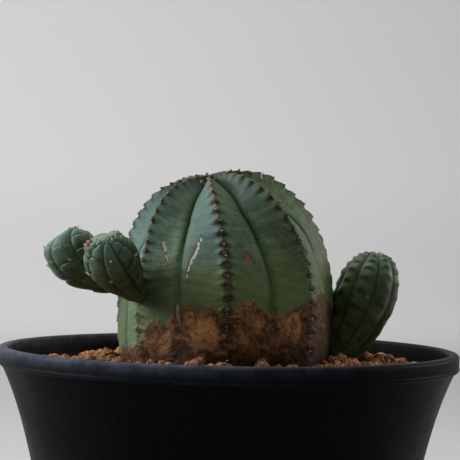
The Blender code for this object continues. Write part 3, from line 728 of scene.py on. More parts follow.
def makeStemSkin():
    shades = stemColours
    material, tree, shader = newMaterial("glaucousStemSkin", Specular_IOR_Level=0.22)
    place = objectPlace(tree)
    skin = useGroup(tree, waxySkin, {"Place": place, "Along": markOf(tree, "alongAt"),
                                     "Bloom and light": markOf(tree, "bloomAndLightAt"),
                                     "Deep": shades["deep"], "Green": shades["green"],
                                     "Wax": shades["wax"], "Band": 0.38})
    base = skin["Colour"]
    # A bluish grey flush by the crown, darker bluish patches, fresher green towards the foot, and a painted
    # shadow where the front left offset keeps the light off
    down = markOf(tree, "downAt")
    flush = times(tree, ramped(tree, down, 34.0, 8.0),
                  ramped(tree, noise(tree, place, 160.0, 2.0), 0.4, 0.65))
    base = tint(tree, times(tree, flush, 0.45), base, shades["crownFlush"])
    base = tint(tree, times(tree, markOf(tree, "coolAt"), 0.62), base, shades["cool"])
    low = ramped(tree, down, 56.0, 88.0)
    base = tint(tree, times(tree, low, 0.66), base, shades["foot"])
    # Painted shadow of the front left offset
    base = tint(tree, times(tree, markOf(tree, "paintedOffsetShadowAt"), 0.82), base, shades["paintedOffsetShadow"])
    crest = markOf(tree, "crestAt")
    frayed = swing(tree, noise(tree, place, 700.0, 4.0, 0.7), 3.4)
    stained = ramped(tree, plus(tree, crest, frayed), 1.4, 0.4, 0.0, 0.6)
    stained = times(tree, stained, ramped(tree, down, 30.0, 60.0, 0.15, 1.0))
    base = tint(tree, stained, base, shades["stain"])
    # Darker green in the furrows, with a painted shade line at the bottom
    furrow = markOf(tree, "furrowAt")
    base = tint(tree, ramped(tree, furrow, 2.0, 0.5, 0.0, 0.55), base, shades["furrow"])
    furrowShadeLine = times(tree, ramped(tree, furrow, 0.5, 0.08), ramped(tree, down, 60.0, 92.0, 0.85, 0.35))
    base = tint(tree, furrowShadeLine, base, shades["paintedFurrowShade"])

    # Cork: rust brown, dark in places, crossed by fine pale fibres
    wander = swing(tree, noise(tree, place, 260.0, 5.0, 0.6, 0.6), 5.0)
    cork = ramped(tree, plus(tree, markOf(tree, "corkAt"), wander), -0.5, 1.3)
    patches = noise(tree, place, 210.0, 5.0, 0.65, 1.2)
    fibreWarp = put(tree, "TexNoise", {"Vector": place, "Scale": 500.0, "Detail": 3.0}).outputs[1]
    fibreWarp = put(tree, "VectorMath", {0: fibreWarp, "Scale": 0.0016}, operation="SCALE").outputs[0]
    fibrePlace = put(tree, "VectorMath", {0: place, 1: fibreWarp}, operation="ADD").outputs[0]
    cells = put(tree, "TexVoronoi", {"Vector": fibrePlace, "Scale": 1500.0},
                feature="DISTANCE_TO_EDGE").outputs[0]
    gathered = ramped(tree, noise(tree, place, 330.0, 3.0), 0.42, 0.66)
    fibres = times(tree, ramped(tree, cells, 0.16, 0.0), gathered)
    # Brighter cork patches, less the painted shade right of the front rib
    corkWarmthAndShade = markOf(tree, "corkWarmthAndShadeAt")
    mottle = plus(tree, patches, swing(tree, noise(tree, place, 640.0, 4.0, 0.7), 0.7))
    lit = ramped(tree, plus(tree, mottle, times(tree, corkWarmthAndShade, 0.26)), 0.36, 0.84)
    brown = tint(tree, lit, shades["corkDark"], shades["corkLit"])
    olive = times(tree, ramped(tree, crest, 3.0, 0.6), ramped(tree, mottle, 0.66, 0.42))
    brown = tint(tree, times(tree, olive, 0.85), brown, shades["corkOlive"])
    green = times(tree, ramped(tree, markOf(tree, "corkAt"), 4.5, 0.5), ramped(tree, patches, 0.56, 0.40))
    brown = tint(tree, times(tree, green, 0.6), brown, shades["corkGreen"])
    fine = noise(tree, place, 1300.0, 4.0, 0.8, 1.0)
    brown = tint(tree, ramped(tree, fine, 0.50, 0.32), brown, shades["corkPits"])
    brown = tint(tree, ramped(tree, fine, 0.55, 0.72, 0.0, 0.7), brown, shades["corkGrain"])
    brown = tint(tree, times(tree, fibres, 0.62), brown, shades["corkFibre"])
    brown = tint(tree, times(tree, ramped(tree, down, 106.0, 120.0), 0.66), brown, shades["corkFoot"])
    base = tint(tree, cork, base, brown)
    # Painted shade under the teeth
    base = tint(tree, times(tree, markOf(tree, "paintedToothShadeAt"), 0.72), base, shades["paintedToothShade"])

    # Eyes: a dark ring of skin round each
    eye = plus(tree, markOf(tree, "eyeAt"), swing(tree, noise(tree, place, 1100.0, 3.0, 0.65), 3.3))
    ringed = times(tree, ramped(tree, eye, 1.0, 0.45), ramped(tree, down, 8.0, 40.0, 0.15, 0.75))
    base = tint(tree, ringed, base, shades["eyeRing"])
    rosy = ramped(tree, noise(tree, place, 800.0, 2.0), 0.46, 0.6)
    base = tint(tree, times(tree, ramped(tree, eye, 0.75, 0.25), rosy), base, shades["eyeRose"])

    # Healed splits: pale inside a dark brown outline
    scar, tone = markOf(tree, "scarAt"), markOf(tree, "scarTone")
    ragged = plus(tree, scar, swing(tree, noise(tree, place, 1100.0, 4.0, 0.7), 0.85))
    base = tint(tree, ramped(tree, ragged, 0.24, 0.06, 0.0, 0.9), base, shades["splitEdge"])
    pale = tint(tree, ramped(tree, tone, 0.55, 0.65), shades["splitTan"], shades["splitPale"])
    pale = tint(tree, ramped(tree, tone, 0.9, 1.0), pale, shades["splitRust"])
    base = tint(tree, ramped(tree, ragged, 0.06, -0.05), base, pale)
    tree.links.new(base, shader["Base Color"])
    rough = ramped(tree, skin["Wax left"], 0.0, 1.0, 0.50, 0.72)
    rough = plus(tree, rough, times(tree, cork, 0.12))
    tree.links.new(rough, shader["Roughness"])
    height = times(tree, skin["Height"], 0.5)
    height = plus(tree, height, times(tree, cork, times(tree, plus(tree, patches, fibres), 1.2)))
    addBump(tree, shader, height, 0.9, 0.00028)
    return material


addPiece("euphorbia_stem", makeStemMesh(), makeStemSkin(), ["main_stem"])


# ---- the three offsets

offsets = {
    "offset_front_left": {
        "azimuth": 310.0,
        "path": ((-0.0030, 0.0122), (0.0073, 0.0184), (0.0121, 0.0285)), "diameter": 0.0140,
        "bluntness": 0.54, "neck": 0.32, "full": 0.78,
        "ribs": 7, "phase": 0.0, "lobeEdges": (0, 8, 18, 33, 61, 88, 116, 150, 200), "lobeDepth": 0.0010,
        "toothed": 0.0, "tipShift": (18.0, 290.0), "tuftAt": (20.0, 20.0)},
    "offset_back_left": {
        "azimuth": 266.5,
        "path": ((-0.0054, 0.0157), (0.0085, 0.0171), (0.0163, 0.0282)), "diameter": 0.0154,
        "bluntness": 0.48, "neck": 0.32, "full": 0.86,
        "ribs": 7, "phase": 0.3, "lobeEdges": (0, 9, 20, 38, 64, 92, 122, 155, 200), "lobeDepth": 0.0010,
        "toothed": 0.0, "tipShift": (20.0, 160.0), "tuftAt": (20.0, 160.0)},
    "offset_right": {
        "azimuth": 99.0,
        "path": ((-0.0036, -0.0082), (0.0086, 0.0097), (0.0108, 0.0252)), "diameter": 0.0170,
        "bluntness": 0.70, "neck": 0.60, "full": 0.80,
        "ribs": 9, "phase": 0.2, "lobeEdges": (0, 8, 17, 27, 38, 50, 63, 77, 92, 108, 125, 150, 200),
        "lobeDepth": 0.0006, "toothed": 1.0, "tipShift": (0.0, 0.0), "tuftAt": (0.0, 0.0)},
}
offsetGrid = {"columns": 224, "rows": 190}


def offsetPlace(spec, index):
    out, rise = spec["path"][index]
    azimuth = math.radians(spec["azimuth"])
    reach = stem["radius"] + out
    centre = stem["centre"]
    return np.array((centre[0] + reach * math.sin(azimuth), centre[1] - reach * math.cos(azimuth),
                     pot["height"] + rise))


def offsetPoints(spec, turn, down, extra=0.0):
    # Rings on a curved axis (a quadratic curve from start by elbow to tip): narrow at the neck, fullest
    # past the middle, blunt at the tip. Extra pushes the skin out, sideways or, at the tip, forward.
    start, elbow, tip = (offsetPlace(spec, index) for index in range(3))
    phi = np.radians(180.0 - down)
    along = ((1 - np.cos(phi)) / 2)[..., None]
    centre = (1 - along) ** 2 * start + 2 * along * (1 - along) * elbow + along**2 * tip
    heading = 2 * (1 - along) * (elbow - start) + 2 * along * (tip - elbow)
    heading = unit(heading)
    side = unit(np.cross(elbow - start, tip - elbow))
    across = np.cross(side, heading)
    neck = spec["neck"] + (1 - spec["neck"]) * softStep(0, spec["full"], along[..., 0])
    girth = np.clip(np.sin(phi), 0, 1)
    radius = spec["diameter"] / 2 * girth ** spec["bluntness"] * neck
    tilt = 2 * math.pi * turn
    ring = np.sin(tilt)[..., None] * side - np.cos(tilt)[..., None] * across
    swell = (radius + extra * girth)[..., None]
    return centre + swell * ring - (np.cos(phi) * extra)[..., None] * heading


def makeOffsetMesh(name, spec):
    turn = (1 - np.arange(offsetGrid["columns"]) / offsetGrid["columns"])[None, :]
    down = (180 * np.linspace(0, 1, offsetGrid["rows"]) ** 0.92)[:, None]
    turn, down = np.broadcast_arrays(turn, down)
    # The pattern grows from a tip that sits a little to one side of the shape's own
    phi, theta = np.radians(down), 2 * math.pi * turn
    shift, toward = math.radians(spec["tipShift"][0]), math.radians(spec["tipShift"][1])
    px, py = np.sin(phi) * np.cos(theta - toward), np.sin(phi) * np.sin(theta - toward)
    pz = np.cos(phi)
    px, pz = px * math.cos(shift) - pz * math.sin(shift), px * math.sin(shift) + pz * math.cos(shift)
    grownDown = np.degrees(np.arccos(np.clip(pz, -1, 1)))
    grownTurn = (np.arctan2(py, px) + toward) / (2 * math.pi) % 1.0
    column = grownTurn * spec["ribs"] + spec["phase"]
    rib = np.round(column)
    across = (column - rib) * 2  # -1 to 1 over a rib
    edges = np.array(spec["lobeEdges"], dtype=float)
    ribIndex = rib % spec["ribs"]
    stagger = ribIndex * 0.43 % 1.0
    number = np.interp(grownDown, edges, np.arange(len(edges))) + stagger - 0.10 * across**2
    along = (number % 1.0) * 2 - 1  # -1 to 1 over a lobe
    edgeStrength = 0.12 + 0.88 * (np.sin(ribIndex * 12.9 + np.round(number) * 78.2) * 437.5 % 1.0) ** 1.6
    if spec["toothed"]:
        # Upright ribs with a fine groove between, each crest stepped by small teeth
        pad = 1 - np.abs(across) ** 2.2
        step = np.where(along < 0.45, softStep(-1.0, 0.45, along), 1 - softStep(0.45, 1.0, along))
        raised = spec["lobeDepth"] * (pad - 0.2) + 0.00042 * (step - 0.4) * hill(across, 0, 0.5)
        grooveShade = softStep(0.25, 0.0, 1 - np.abs(across))
    else:
        # Rounded pads: full in the middle, falling steeply to the grooves between ribs and between lobes
        ridge = np.clip(1 - np.abs(across) ** 4.0, 0, 1) ** 0.7
        crossing = edgeStrength * (1 - softStep(70, 105, down)) * np.abs(along) ** 6.0
        pad = ridge * (1 - crossing)
        raised = spec["lobeDepth"] * (pad + 0.22 * (1 - across**2) - 0.95) - 0.00016 * along * ridge
        grooveShade = np.maximum(softStep(0.55, 0.1, ridge), softStep(0.35, 1.0, crossing) * 0.8)
    fade = softStep(2, 16, down) * (1 - 0.75 * softStep(95, 150, down))
    flat = offsetPoints(spec, turn, down)
    raised = raised * fade + 0.00014 * unevenness(flat, 0.006, len(name))
    points = offsetPoints(spec, turn, down, raised * softStep(0, 6, down))
    # Wax bloom, partly painted light: palest at the tip, which faces up, fading towards the underside, and
    # paler low down on the right offset
    bloomAndLight = 0.74 - 0.62 * softStep(15, 75, down) + 0.3 * spec["toothed"] * softStep(88, 125, down)
    marks = {"grooveShadeAt": grooveShade * fade, "bloomAndLightAt": bloomAndLight, "alongAt": down * 0.14}
    return ballGrid(name, points, marks)


def makeOffsetSkin(name, deep, green, wax):
    material, tree, shader = newMaterial(name, Specular_IOR_Level=0.4)
    place = objectPlace(tree)
    skin = useGroup(tree, waxySkin, {"Place": place, "Along": markOf(tree, "alongAt"),
                                     "Bloom and light": markOf(tree, "bloomAndLightAt"),
                                     "Deep": deep, "Green": green, "Wax": wax, "Band": 0.12})
    # Painted shade in the grooves between ribs and lobes
    base = tint(tree, times(tree, markOf(tree, "grooveShadeAt"), 0.8), skin["Colour"],
                colour(0.008, 0.02, 0.008))
    tree.links.new(base, shader["Base Color"])
    tree.links.new(ramped(tree, skin["Wax left"], 0.0, 1.0, 0.42, 0.6), shader["Roughness"])
    addBump(tree, shader, skin["Height"], 0.4, 0.00015)
    return material


youngSkin = makeOffsetSkin("youngOffsetSkin", colour(0.036, 0.062, 0.020), colour(0.068, 0.112, 0.038),
                           colour(0.15, 0.25, 0.185))
# A darker copy of the offset skin for the right offset, on the side away from the window: painted shade
shadedSkin = makeOffsetSkin("shadedOffsetSkin", colour(0.028, 0.046, 0.012), colour(0.060, 0.095, 0.027),
                            colour(0.10, 0.165, 0.105))
for offsetName, offsetSpec in offsets.items():
    skinHere = shadedSkin if offsetSpec["toothed"] else youngSkin
    addPiece("euphorbia_" + offsetName, makeOffsetMesh("euphorbia_" + offsetName, offsetSpec), skinHere,
             [offsetName])


# ---- eyes, dry stalks and the tuft on the crown

def outwardOnStem(ribPlace, down):
    # Place and outward direction on the stem at each (rib place, angle)
    point = stemPoints(ribPlace, down)
    return point, unit(point - stem["centre"])


def outwardOnOffset(spec, turn, down):
    point = offsetPoints(spec, turn, down)
    return point, unit(offsetPoints(spec, turn, down, np.full(down.shape, 0.001)) - point)


def randomSizes(rng, count, *ranges):
    # Half lengths along a piece's three axes, each drawn from its own range in mm
    return np.stack([rng.uniform(low, high, count) for low, high in ranges], axis=-1) / 1000


def beads(name, points, outward, sizes, tones):
    # Small buds: a ball drawn out along the way it faces
    ball, quads, triangles = unitBall(8, 6)
    axes = framesAlong(outward)
    local = ball[None, :, :] * sizes[:, None, :]
    shapes = np.einsum("nvk,nkc->nvc", local, axes) + points[:, None, :]
    return manyOf(name, shapes, quads, triangles, {"toneAt": tones})


def stalks(name, roots, outward, lengths, radii, curls, tones):
    # Tapered tubes that curl up as they go: the path is a straight run plus a rise with its square
    rings, sides = 6, 6
    t = np.linspace(0, 1, rings)
    path = roots[:, None, :] + outward[:, None, :] * (lengths[:, None] * t)[..., None]
    path[..., 2] += (lengths * curls)[:, None] * t**2
    along = unit(outward[:, None, :] + np.array((0, 0, 1.0)) * (2 * curls[:, None] * t)[..., None])
    axes = framesAlong(along.reshape(-1, 3)).reshape(len(roots), rings, 3, 3)
    turn = np.arange(sides) * 2 * math.pi / sides
    taper = radii[:, None] * (1 - 0.5 * t) * np.where(t > 0.99, 0.5, 1.0)
    circle = np.cos(turn)[:, None] * axes[:, :, None, 0] + np.sin(turn)[:, None] * axes[:, :, None, 1]
    body = path[:, :, None, :] + taper[:, :, None, None] * circle
    tips = path[:, -1:] + along[:, -1:] * (radii * 0.5)[:, None, None]
    ends = path[:, :1]
    shapes = np.concatenate([ends, body.reshape(len(roots), -1, 3), tips], axis=1)
    _, quads, fans = ballFaces(rings + 2, sides)
    return manyOf(name, shapes, quads[:, [0, 3, 2, 1]], fans[:, [0, 2, 1]], {"toneAt": tones})


def makeBudMaterial(name, dark, pale, gloss):
    material, tree, shader = newMaterial(name, gloss)
    place = objectPlace(tree)
    specks = noise(tree, place, 1600.0, 3.0, 0.6)
    share = plus(tree, markOf(tree, "toneAt"), swing(tree, specks, 0.5))
    tree.links.new(tint(tree, ramped(tree, share, 0.0, 1.0), dark, pale), shader["Base Color"])
    addBump(tree, shader, specks, 0.4, 0.0001)
    return material


budMaterial = makeBudMaterial("pinkBrownBud", colour(0.035, 0.017, 0.013), colour(0.30, 0.145, 0.115), 0.38)
scaleAndGlintMaterial = makeBudMaterial("paleDryEyeAndGlint", colour(0.12, 0.10, 0.085), colour(0.85, 0.82, 0.76), 0.25)
stalkMaterial = makeBudMaterial("dryFlowerStalk", colour(0.20, 0.11, 0.06), colour(0.82, 0.70, 0.52), 0.6)

rng = np.random.default_rng(stem["seed"])
eyePlaces, eyeDowns, eyeShifts = [], [], []
for ribIndex in range(8):
    anglesHere = eyeAngles(ribIndex)
    used = (anglesHere > 7) & (anglesHere < 122)
    anglesHere = anglesHere[used]
    eyePlaces += [float(ribIndex)] * len(anglesHere)
    eyeDowns += list(anglesHere)
    eyeShifts += list(eyeScatter(ribIndex)[0][used])
eyePlaces, eyeDowns = np.array(eyePlaces), np.array(eyeDowns)
sideways = np.array(eyeShifts) / (0.8 * stem["radius"] * 1000 * np.sin(np.radians(eyeDowns)))
eyePoints, eyeOut = outwardOnStem(eyePlaces + sideways, eyeDowns + 0.1 + rng.normal(0, 0.25, len(eyeDowns)))
lift = curveThrough(stem["toothHeight"], eyeDowns) * 0.12
eyePoints = eyePoints + eyeOut * (lift / 1000)[:, None]
eyeSizes = randomSizes(rng, len(eyeDowns), (0.26, 0.56), (0.22, 0.44), (0.20, 0.34))
eyeAge = softStep(48, 75, eyeDowns)
eyeSizes *= (1 - 0.4 * eyeAge)[:, None]
eyeMesh = beads("rib_eyes", eyePoints, eyeOut, eyeSizes,
                rng.uniform(0.25, 0.95, len(eyeDowns)) - 0.35 * eyeAge)
addPiece("rib_eyes", eyeMesh, budMaterial, [])

# Pale scales that lie about the older eyes, two to an eye: whitish dry scale and painted glints
palePick = np.tile(eyeDowns > 44, 2) & (rng.uniform(size=2 * len(eyeDowns)) < 0.8)
paleOut = np.tile(eyeOut, (2, 1))
scatter = rng.normal(0, 0.0006, paleOut.shape) * (1 - np.abs(paleOut))
palePoints = np.tile(eyePoints, (2, 1)) + paleOut * 0.00008 + scatter
paleSizes = randomSizes(rng, len(paleOut), (0.12, 0.30), (0.07, 0.15), (0.08, 0.16))
paleMesh = beads("pale_eye_scales_and_glints", palePoints[palePick], paleOut[palePick], paleSizes[palePick],
                 rng.uniform(0.2, 1.0, palePick.sum()))
addPiece("pale_eye_scales_and_glints", paleMesh, scaleAndGlintMaterial, [])

# Dry stalks on each offset: angle from its tip, azimuth round it, size, upward curl
stalkPlaces = {
    "offset_front_left": ((47, 355, 1.0, 0.5), (69, 30, 1.0, 0.6), (54, 305, 0.7, 0.3), (79, 325, 0.9, 0.4),
                          (69, 245, 0.8, 0.5), (27, 205, 0.5, 0.6), (37, 0, 0.4, 0.5), (25, 275, 0.7, 0.2),
                          (20, 245, 0.8, 0.4), (52, 210, 0.6, 0.5), (20, 290, 0.5, 0.3)),
    "offset_back_left": ((49, 350, 0.8, 0.4), (39, 270, 0.7, 0.5), (20, 350, 0.6, 0.3), (64, 275, 0.8, 0.2),
                         (64, 205, 0.7, 0.5), (34, 205, 0.7, 0.6)),
    "offset_right": ((25, 0, 0.3, 0.2), (74, 100, 0.35, 0.2), (32, 185, 0.3, 0.3), (71, 55, 0.35, 0.2)),
}
roots, ways, lengths, curls = [], [], [], []
for offsetName, places in stalkPlaces.items():
    table = np.array(places, dtype=float)
    point, outward = outwardOnOffset(offsets[offsetName], table[:, 1] / 360, table[:, 0])
    roots.append(point - outward * 0.0002)
    ways.append(outward)
    lengths.append(table[:, 2] * 0.0011 + 0.0003)
    curls.append(table[:, 3])
# Three longer ones behind the crown, on the right
crownPoint, crownOut = outwardOnStem(np.array([2.2, 2.2, 1.9]), np.array([25.0, 25.3, 24.0]))
crownOut = unit(crownOut + np.array(((0.0, 0.0, 0.5), (0.7, 0.0, 0.3), (-0.3, 0.0, 0.6))))
roots.append(crownPoint - crownOut * 0.0002)
ways.append(crownOut)
lengths.append(np.array((0.0028, 0.0022, 0.0016)))
curls.append(np.array((0.1, 0.2, 0.1)))
roots, ways, lengths, curls = map(np.concatenate, (roots, ways, lengths, curls))
ways = unit(ways + rng.normal(0, 0.25, ways.shape))
radii, tones = rng.uniform(0.00026, 0.00040, len(roots)), rng.uniform(0.3, 1.0, len(roots))
stalkMesh = stalks("dry_flower_stalks", roots, ways, lengths, radii, curls, tones)
stalkNodes = [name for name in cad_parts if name.startswith("stalk_")]
addPiece("dry_flower_stalks", stalkMesh, stalkMaterial, stalkNodes)

# Little withered leaves that stand up from the youngest eyes
youngPick = (eyeDowns < 22) & (rng.uniform(size=len(eyeDowns)) < 0.22)
leafCount = youngPick.sum()
leafWays = unit(eyeOut[youngPick] + np.array((0, 0, 0.8)) + rng.normal(0, 0.2, (leafCount, 3)))
leafMesh = stalks("withered_leaves", eyePoints[youngPick], leafWays, rng.uniform(0.0003, 0.0006, leafCount),
                  rng.uniform(0.00018, 0.00026, leafCount), np.full(leafCount, 0.2),
                  rng.uniform(0.0, 0.35, leafCount))
addPiece("withered_leaves", leafMesh, stalkMaterial, [])

# Woolly tufts on the crown and on the offsets' tips
tuftCount = 26
tuftPlaces, tuftDowns = rng.normal(6.2, 0.9, tuftCount) % 8, rng.uniform(0.5, 8.5, tuftCount)
tuftPoints, tuftOut = outwardOnStem(tuftPlaces, tuftDowns)
tuftOut = unit(tuftOut + rng.normal(0, 0.35, tuftOut.shape))
tuftSizes = randomSizes(rng, tuftCount, (0.25, 0.45), (0.25, 0.4), (0.35, 0.6))
tuftMaterial = makeBudMaterial("crownTuft", colour(0.20, 0.075, 0.04), colour(0.72, 0.46, 0.32), 0.6)
tuftMesh = beads("crown_tuft", tuftPoints + tuftOut * 0.0003, tuftOut, tuftSizes,
                 rng.uniform(0.2, 1.0, tuftCount))
addPiece("crown_tuft", tuftMesh, tuftMaterial, [])

tipPoints, tipWays, tipSizes = [], [], []
for offsetName in offsets:
    tipCount = 8 if offsets[offsetName]["toothed"] else 18
    shift, toward = offsets[offsetName]["tuftAt"]
    aside, beyond = rng.normal(0, 6, tipCount), rng.normal(0, 6, tipCount) + shift
    around = toward / 360 + np.arctan2(aside, beyond) / (2 * math.pi)
    point, outward = outwardOnOffset(offsets[offsetName], around, np.hypot(aside, beyond))
    outward = outward + rng.normal(0, 0.4, outward.shape)
    tipPoints.append(point)
    tipWays.append(unit(outward))
    tipSizes.append(randomSizes(rng, tipCount, (0.2, 0.34), (0.2, 0.34), (0.4, 0.8)))
tipPoints, tipWays, tipSizes = map(np.concatenate, (tipPoints, tipWays, tipSizes))
tipMesh = beads("offset_tip_tufts", tipPoints + tipWays * 0.0002, tipWays, tipSizes,
                rng.uniform(0.1, 1.0, len(tipPoints)))
addPiece("offset_tip_tufts", tipMesh, tuftMaterial, [])


# ---- the soil

soil = {
    "level": 0.0893, "mound": 0.0016, "moundWidth": 0.010, "bottom": 0.0053, "columns": 192,
    "wallSink": 0.0026, "lumps": 0.00035,
    # Heaps: middle, half width and half depth, height
    "heaps": ((0.040, 0.004, 0.010, 0.014, 0.0017), (-0.020, -0.027, 0.014, 0.008, 0.0009)),
    "granules": 1400, "smallest": 0.00105, "largest": 0.00225, "seed": 5,
}


def soilHeight(x, y):
    # Mounded round the stem and past the right offset, lower at the wall, gently uneven
    radius = np.hypot(x - stem["centre"][0], y - stem["centre"][1])
    past = np.clip(1 - (radius - stem["radius"] + 0.003) / soil["moundWidth"], 0, 1)
    heap = sum(tall * hill(x, middleX, halfX) * hill(y, middleY, halfY)
               for middleX, middleY, halfX, halfY, tall in soil["heaps"])
    sink = soil["wallSink"] * softStep(0.034, 0.053, np.hypot(x, y))
    lumps = soil["lumps"] * unevenness(np.stack([x, y, np.zeros_like(x)], axis=-1), 0.010, soil["seed"])
    return soil["level"] + soil["mound"] * past**2 + heap + lumps - sink


def makeSoilMesh():
    turn = np.arange(soil["columns"]) * 2 * math.pi / soil["columns"]
    topRadius = potInner(np.array(soil["level"])) - 0.0003
    radii = np.linspace(0, topRadius, 44)
    x, y = radii[:, None] * np.cos(turn), radii[:, None] * np.sin(turn)
    z = soilHeight(x, y)
    z[0] = z[0].mean()
    top = np.stack([x, y, z], axis=-1)
    heights = np.linspace(soil["level"] - 0.002, soil["bottom"] + 0.0015, 16)
    sideRadius = (potInner(heights) - 0.0005)[:, None]
    side = np.stack(np.broadcast_arrays(sideRadius * np.cos(turn), sideRadius * np.sin(turn),
                                        heights[:, None]), axis=-1)
    floorRadii = np.linspace(float(sideRadius[-1, 0]) - 0.001, 0, 5)[:, None]
    flat = np.full((5, soil["columns"]), soil["bottom"])
    floor = np.stack([floorRadii * np.cos(turn), floorRadii * np.sin(turn), flat], axis=-1)
    return ballGrid("soil_fill", np.concatenate([top, side, floor]))


def pourGranules():
    # Grains on a sunflower spiral, shaken about, in two layers; each is a ball dented by waves
    rng = np.random.default_rng(soil["seed"])
    count = soil["granules"]
    order = np.arange(count)
    reach = float(potInner(np.array(soil["level"]))) - 0.0017
    radius = reach * np.sqrt((order + 0.5) / count)
    turn = order * math.pi * (3 - math.sqrt(5))
    x = radius * np.cos(turn) + rng.normal(0, 0.0007, count)
    y = radius * np.sin(turn) + rng.normal(0, 0.0007, count)
    size = rng.uniform(soil["smallest"], soil["largest"], count)
    upper = rng.uniform(size=count) < 0.38
    shrink = np.minimum(1, (reach + 0.0017 - size - 0.0002) / np.hypot(x, y))
    x, y = x * shrink, y * shrink
    z = soilHeight(x, y) + np.where(upper, size * 0.9, size * 0.15) + rng.uniform(-0.0003, 0.0005, count)
    # Clear of the stem and the right offset
    azimuth = np.degrees(np.arctan2(x - stem["centre"][0], -(y - stem["centre"][1]))) % 360
    places = np.interp(azimuth, stem["ribAzimuths"] + (360,), range(9))
    foot = stemPoints(places, np.full(count, 122.0)) - stem["centre"]
    away = np.hypot(x - stem["centre"][0], y - stem["centre"][1]) - np.hypot(foot[:, 0], foot[:, 1])
    offsetFoot = offsetPlace(offsets["offset_right"], 0) * 0.45 + offsetPlace(offsets["offset_right"],
                                                                              1) * 0.55
    offsetGap = np.hypot(x - offsetFoot[0], y - offsetFoot[1]) - 0.0052
    keep = (away > size * 0.55) & (offsetGap > size * 0.5)
    x, y, z, size = x[keep], y[keep], z[keep], size[keep]
    count = len(size)
    ball, quads, triangles = unitBall(8, 6)
    shapes = np.repeat(ball[None], count, axis=0)
    dents = np.zeros((count, len(ball)))
    for strength, pitch in ((0.16, 2.2), (0.10, 4.5)):
        headings = rng.normal(size=(count, 4, 3)) * pitch
        phases = rng.uniform(0, 2 * math.pi, (count, 4, 1))
        dents += strength * np.sin(np.einsum("nkc,vc->nkv", headings, ball) + phases).sum(axis=1) / 2
    shapes = shapes * (1 + dents)[..., None]
    stretch = rng.uniform(0.82, 1.15, (count, 1, 3))
    axes = framesAlong(unit(rng.normal(size=(count, 3))))
    shapes = np.einsum("nvk,nkc->nvc", shapes * stretch, axes) * size[:, None, None]
    shapes += np.stack([x, y, z], axis=-1)[:, None, :]
    return manyOf("clay_granules", shapes, quads, triangles, {"toneAt": rng.uniform(0, 1, count)})


def makeClay(name, deep, mid, pale):
    material, tree, shader = newMaterial(name, 0.92, Specular_IOR_Level=0.2)
    place = objectPlace(tree)
    grains = useGroup(tree, crumb, {"Place": place, "Scale": 1300.0})
    tone = plus(tree, times(tree, markOf(tree, "toneAt"), 0.65),
                times(tree, noise(tree, place, 600.0, 3.0), 0.35))
    base = tint(tree, ramped(tree, tone, 0.2, 0.85), deep, mid)
    # Painted light and shade from the crumb's height: pale on the raised bits, dark in the pits
    base = tint(tree, times(tree, grains["Relief light"], 0.55), base, pale)
    base = tint(tree, ramped(tree, grains["Relief light"], 0.32, 0.05), base, deep)
    tree.links.new(base, shader["Base Color"])
    height = plus(tree, grains["Height"], times(tree, noise(tree, place, 900.0, 3.0), 0.8))
    addBump(tree, shader, height, 0.9, 0.00045)
    return material


clay = makeClay("bakedClayGranules", colour(0.17, 0.062, 0.025), colour(0.47, 0.20, 0.085),
                colour(0.74, 0.44, 0.24))
# A darker copy of the clay for the fill seen between the granules: painted shade in the gaps
shadedClayCopy = makeClay("shadedClay", colour(0.03, 0.012, 0.006), colour(0.12, 0.05, 0.02),
                    colour(0.2, 0.09, 0.04))
addPiece("soil_fill", makeSoilMesh(), shadedClayCopy, ["soil_bed"])
granuleNodes = [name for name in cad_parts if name.startswith("granule_")]
addPiece("clay_granules", pourGranules(), clay, granuleNodes)


# ---- floor, backdrop, light and camera

studio = {
    "wallAt": 1.35, "sweep": 0.42, "halfWidth": 2.2, "wallTop": 1.9, "front": -1.8,
    "paper": colour(0.77, 0.765, 0.77), "paperPaintedShade": colour(0.54, 0.535, 0.545),
    "ambient": (0.70, 0.71, 0.72), "ambientStrength": 0.24,
    "lens": 125.4, "sensor": 36.0, "cameraPlace": (-0.00029, -0.420, 0.12577), "cameraRoll": -0.0205,
    # Lights: name, place, aim, width, height, watts, tone, spread in degrees
    "lights": (
        ("windowLight", (-1.0, 0.10, 0.62), (0.0, 0.0, 0.11), 0.5, 0.55, 1.95, (0.93, 0.97, 1.0), 75),
        ("topLight", (0.1, 0.25, 1.1), (0.0, 0.1, 0.1), 1.0, 0.7, 1.6, (1.0, 0.98, 0.95), 180),
        ("wallLight", (-0.62, 0.35, 1.35), (-0.22, 1.35, 0.45), 1.4, 0.4, 16.3, (1.0, 0.985, 0.975), 180),
        ("farSideLight", (0.95, 0.45, 0.45), (0.0, 0.0, 0.11), 0.5, 0.5, 0.66, (1.0, 0.97, 0.93), 75),
    ),
}


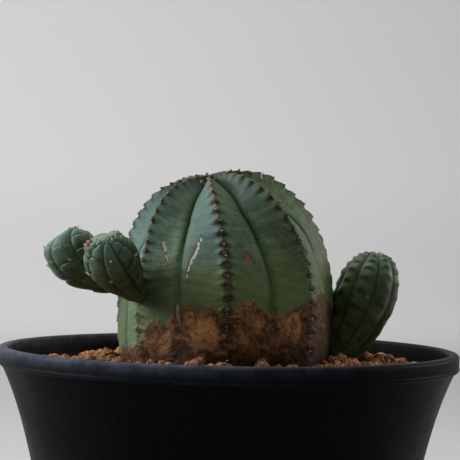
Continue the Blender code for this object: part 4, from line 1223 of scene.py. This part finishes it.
def makeSweep():
    # One sheet of paper: flat floor, a quarter circle, then the wall
    run = np.linspace(studio["front"], studio["wallAt"] - studio["sweep"], 8)
    floor = np.stack([run, np.zeros_like(run)], axis=-1)
    curve = bend((studio["wallAt"] - studio["sweep"], studio["sweep"]), studio["sweep"], -90, 0, 20)
    rise = np.linspace(studio["sweep"], studio["wallTop"], 6)
    wall = np.stack([np.full_like(rise, studio["wallAt"]), rise], axis=-1)
    profile = np.concatenate([floor, curve[1:], wall[1:]])
    x = np.linspace(-studio["halfWidth"], studio["halfWidth"], 9)[None, :]
    points = np.stack(np.broadcast_arrays(x, profile[:, :1], profile[:, 1:]), axis=-1)
    index = np.arange(points.shape[0] * points.shape[1]).reshape(points.shape[:2])
    quads = np.stack([index[:-1, :-1], index[:-1, 1:], index[1:, 1:], index[1:, :-1]],
                     axis=-1).reshape(-1, 4)
    return buildMesh("paper_sweep", points.reshape(-1, 3), quads)


def makePaper():
    material, tree, shader = newMaterial("paleStudioPaper", 0.9, Specular_IOR_Level=0.1)
    rise = put(tree, "SeparateXYZ", {0: objectPlace(tree)}).outputs[2]
    # Painted shade: the same paper darker on the floor, lighter up the sweep and the wall
    share = plus(tree, ramped(tree, rise, 0.0, 0.04, 0.0, 0.74), ramped(tree, rise, 0.09, 0.2, 0.0, 0.26))
    tree.links.new(tint(tree, share, studio["paperPaintedShade"], studio["paper"]), shader["Base Color"])
    return material


sweep = bpy.data.objects.new("paper_sweep", makeSweep())
bpy.context.scene.collection.objects.link(sweep)
sweep.data.materials.append(makePaper())


def addSoftbox(name, place, aim, width, height, power, tone, spread):
    lamp = bpy.data.lights.new(name, "AREA")
    lamp.shape, lamp.size, lamp.size_y = "RECTANGLE", width, height
    lamp.energy, lamp.color = power, tone
    lamp.spread = math.radians(spread)
    obj = bpy.data.objects.new(name, lamp)
    bpy.context.scene.collection.objects.link(obj)
    obj.location = place
    obj.rotation_euler = (Vector(aim) - Vector(place)).to_track_quat("-Z", "Y").to_euler()


for settings in studio["lights"]:
    addSoftbox(*settings)

world = bpy.data.worlds.new("dimRoom")
bpy.context.scene.world = world
world.use_nodes = True
world.node_tree.nodes["Background"].inputs[0].default_value = (*studio["ambient"], 1.0)
world.node_tree.nodes["Background"].inputs[1].default_value = studio["ambientStrength"]

camera = bpy.data.cameras.new("camera")
camera.lens = studio["lens"]
camera.sensor_width = studio["sensor"]
camera.clip_start = 0.01
cameraObject = bpy.data.objects.new("camera", camera)
bpy.context.scene.collection.objects.link(cameraObject)
cameraObject.location = studio["cameraPlace"]
cameraObject.rotation_euler = (math.radians(90), studio["cameraRoll"], 0.0)
bpy.context.scene.camera = cameraObject
bpy.context.scene.view_settings.view_transform = "Standard"
print("studio ready")
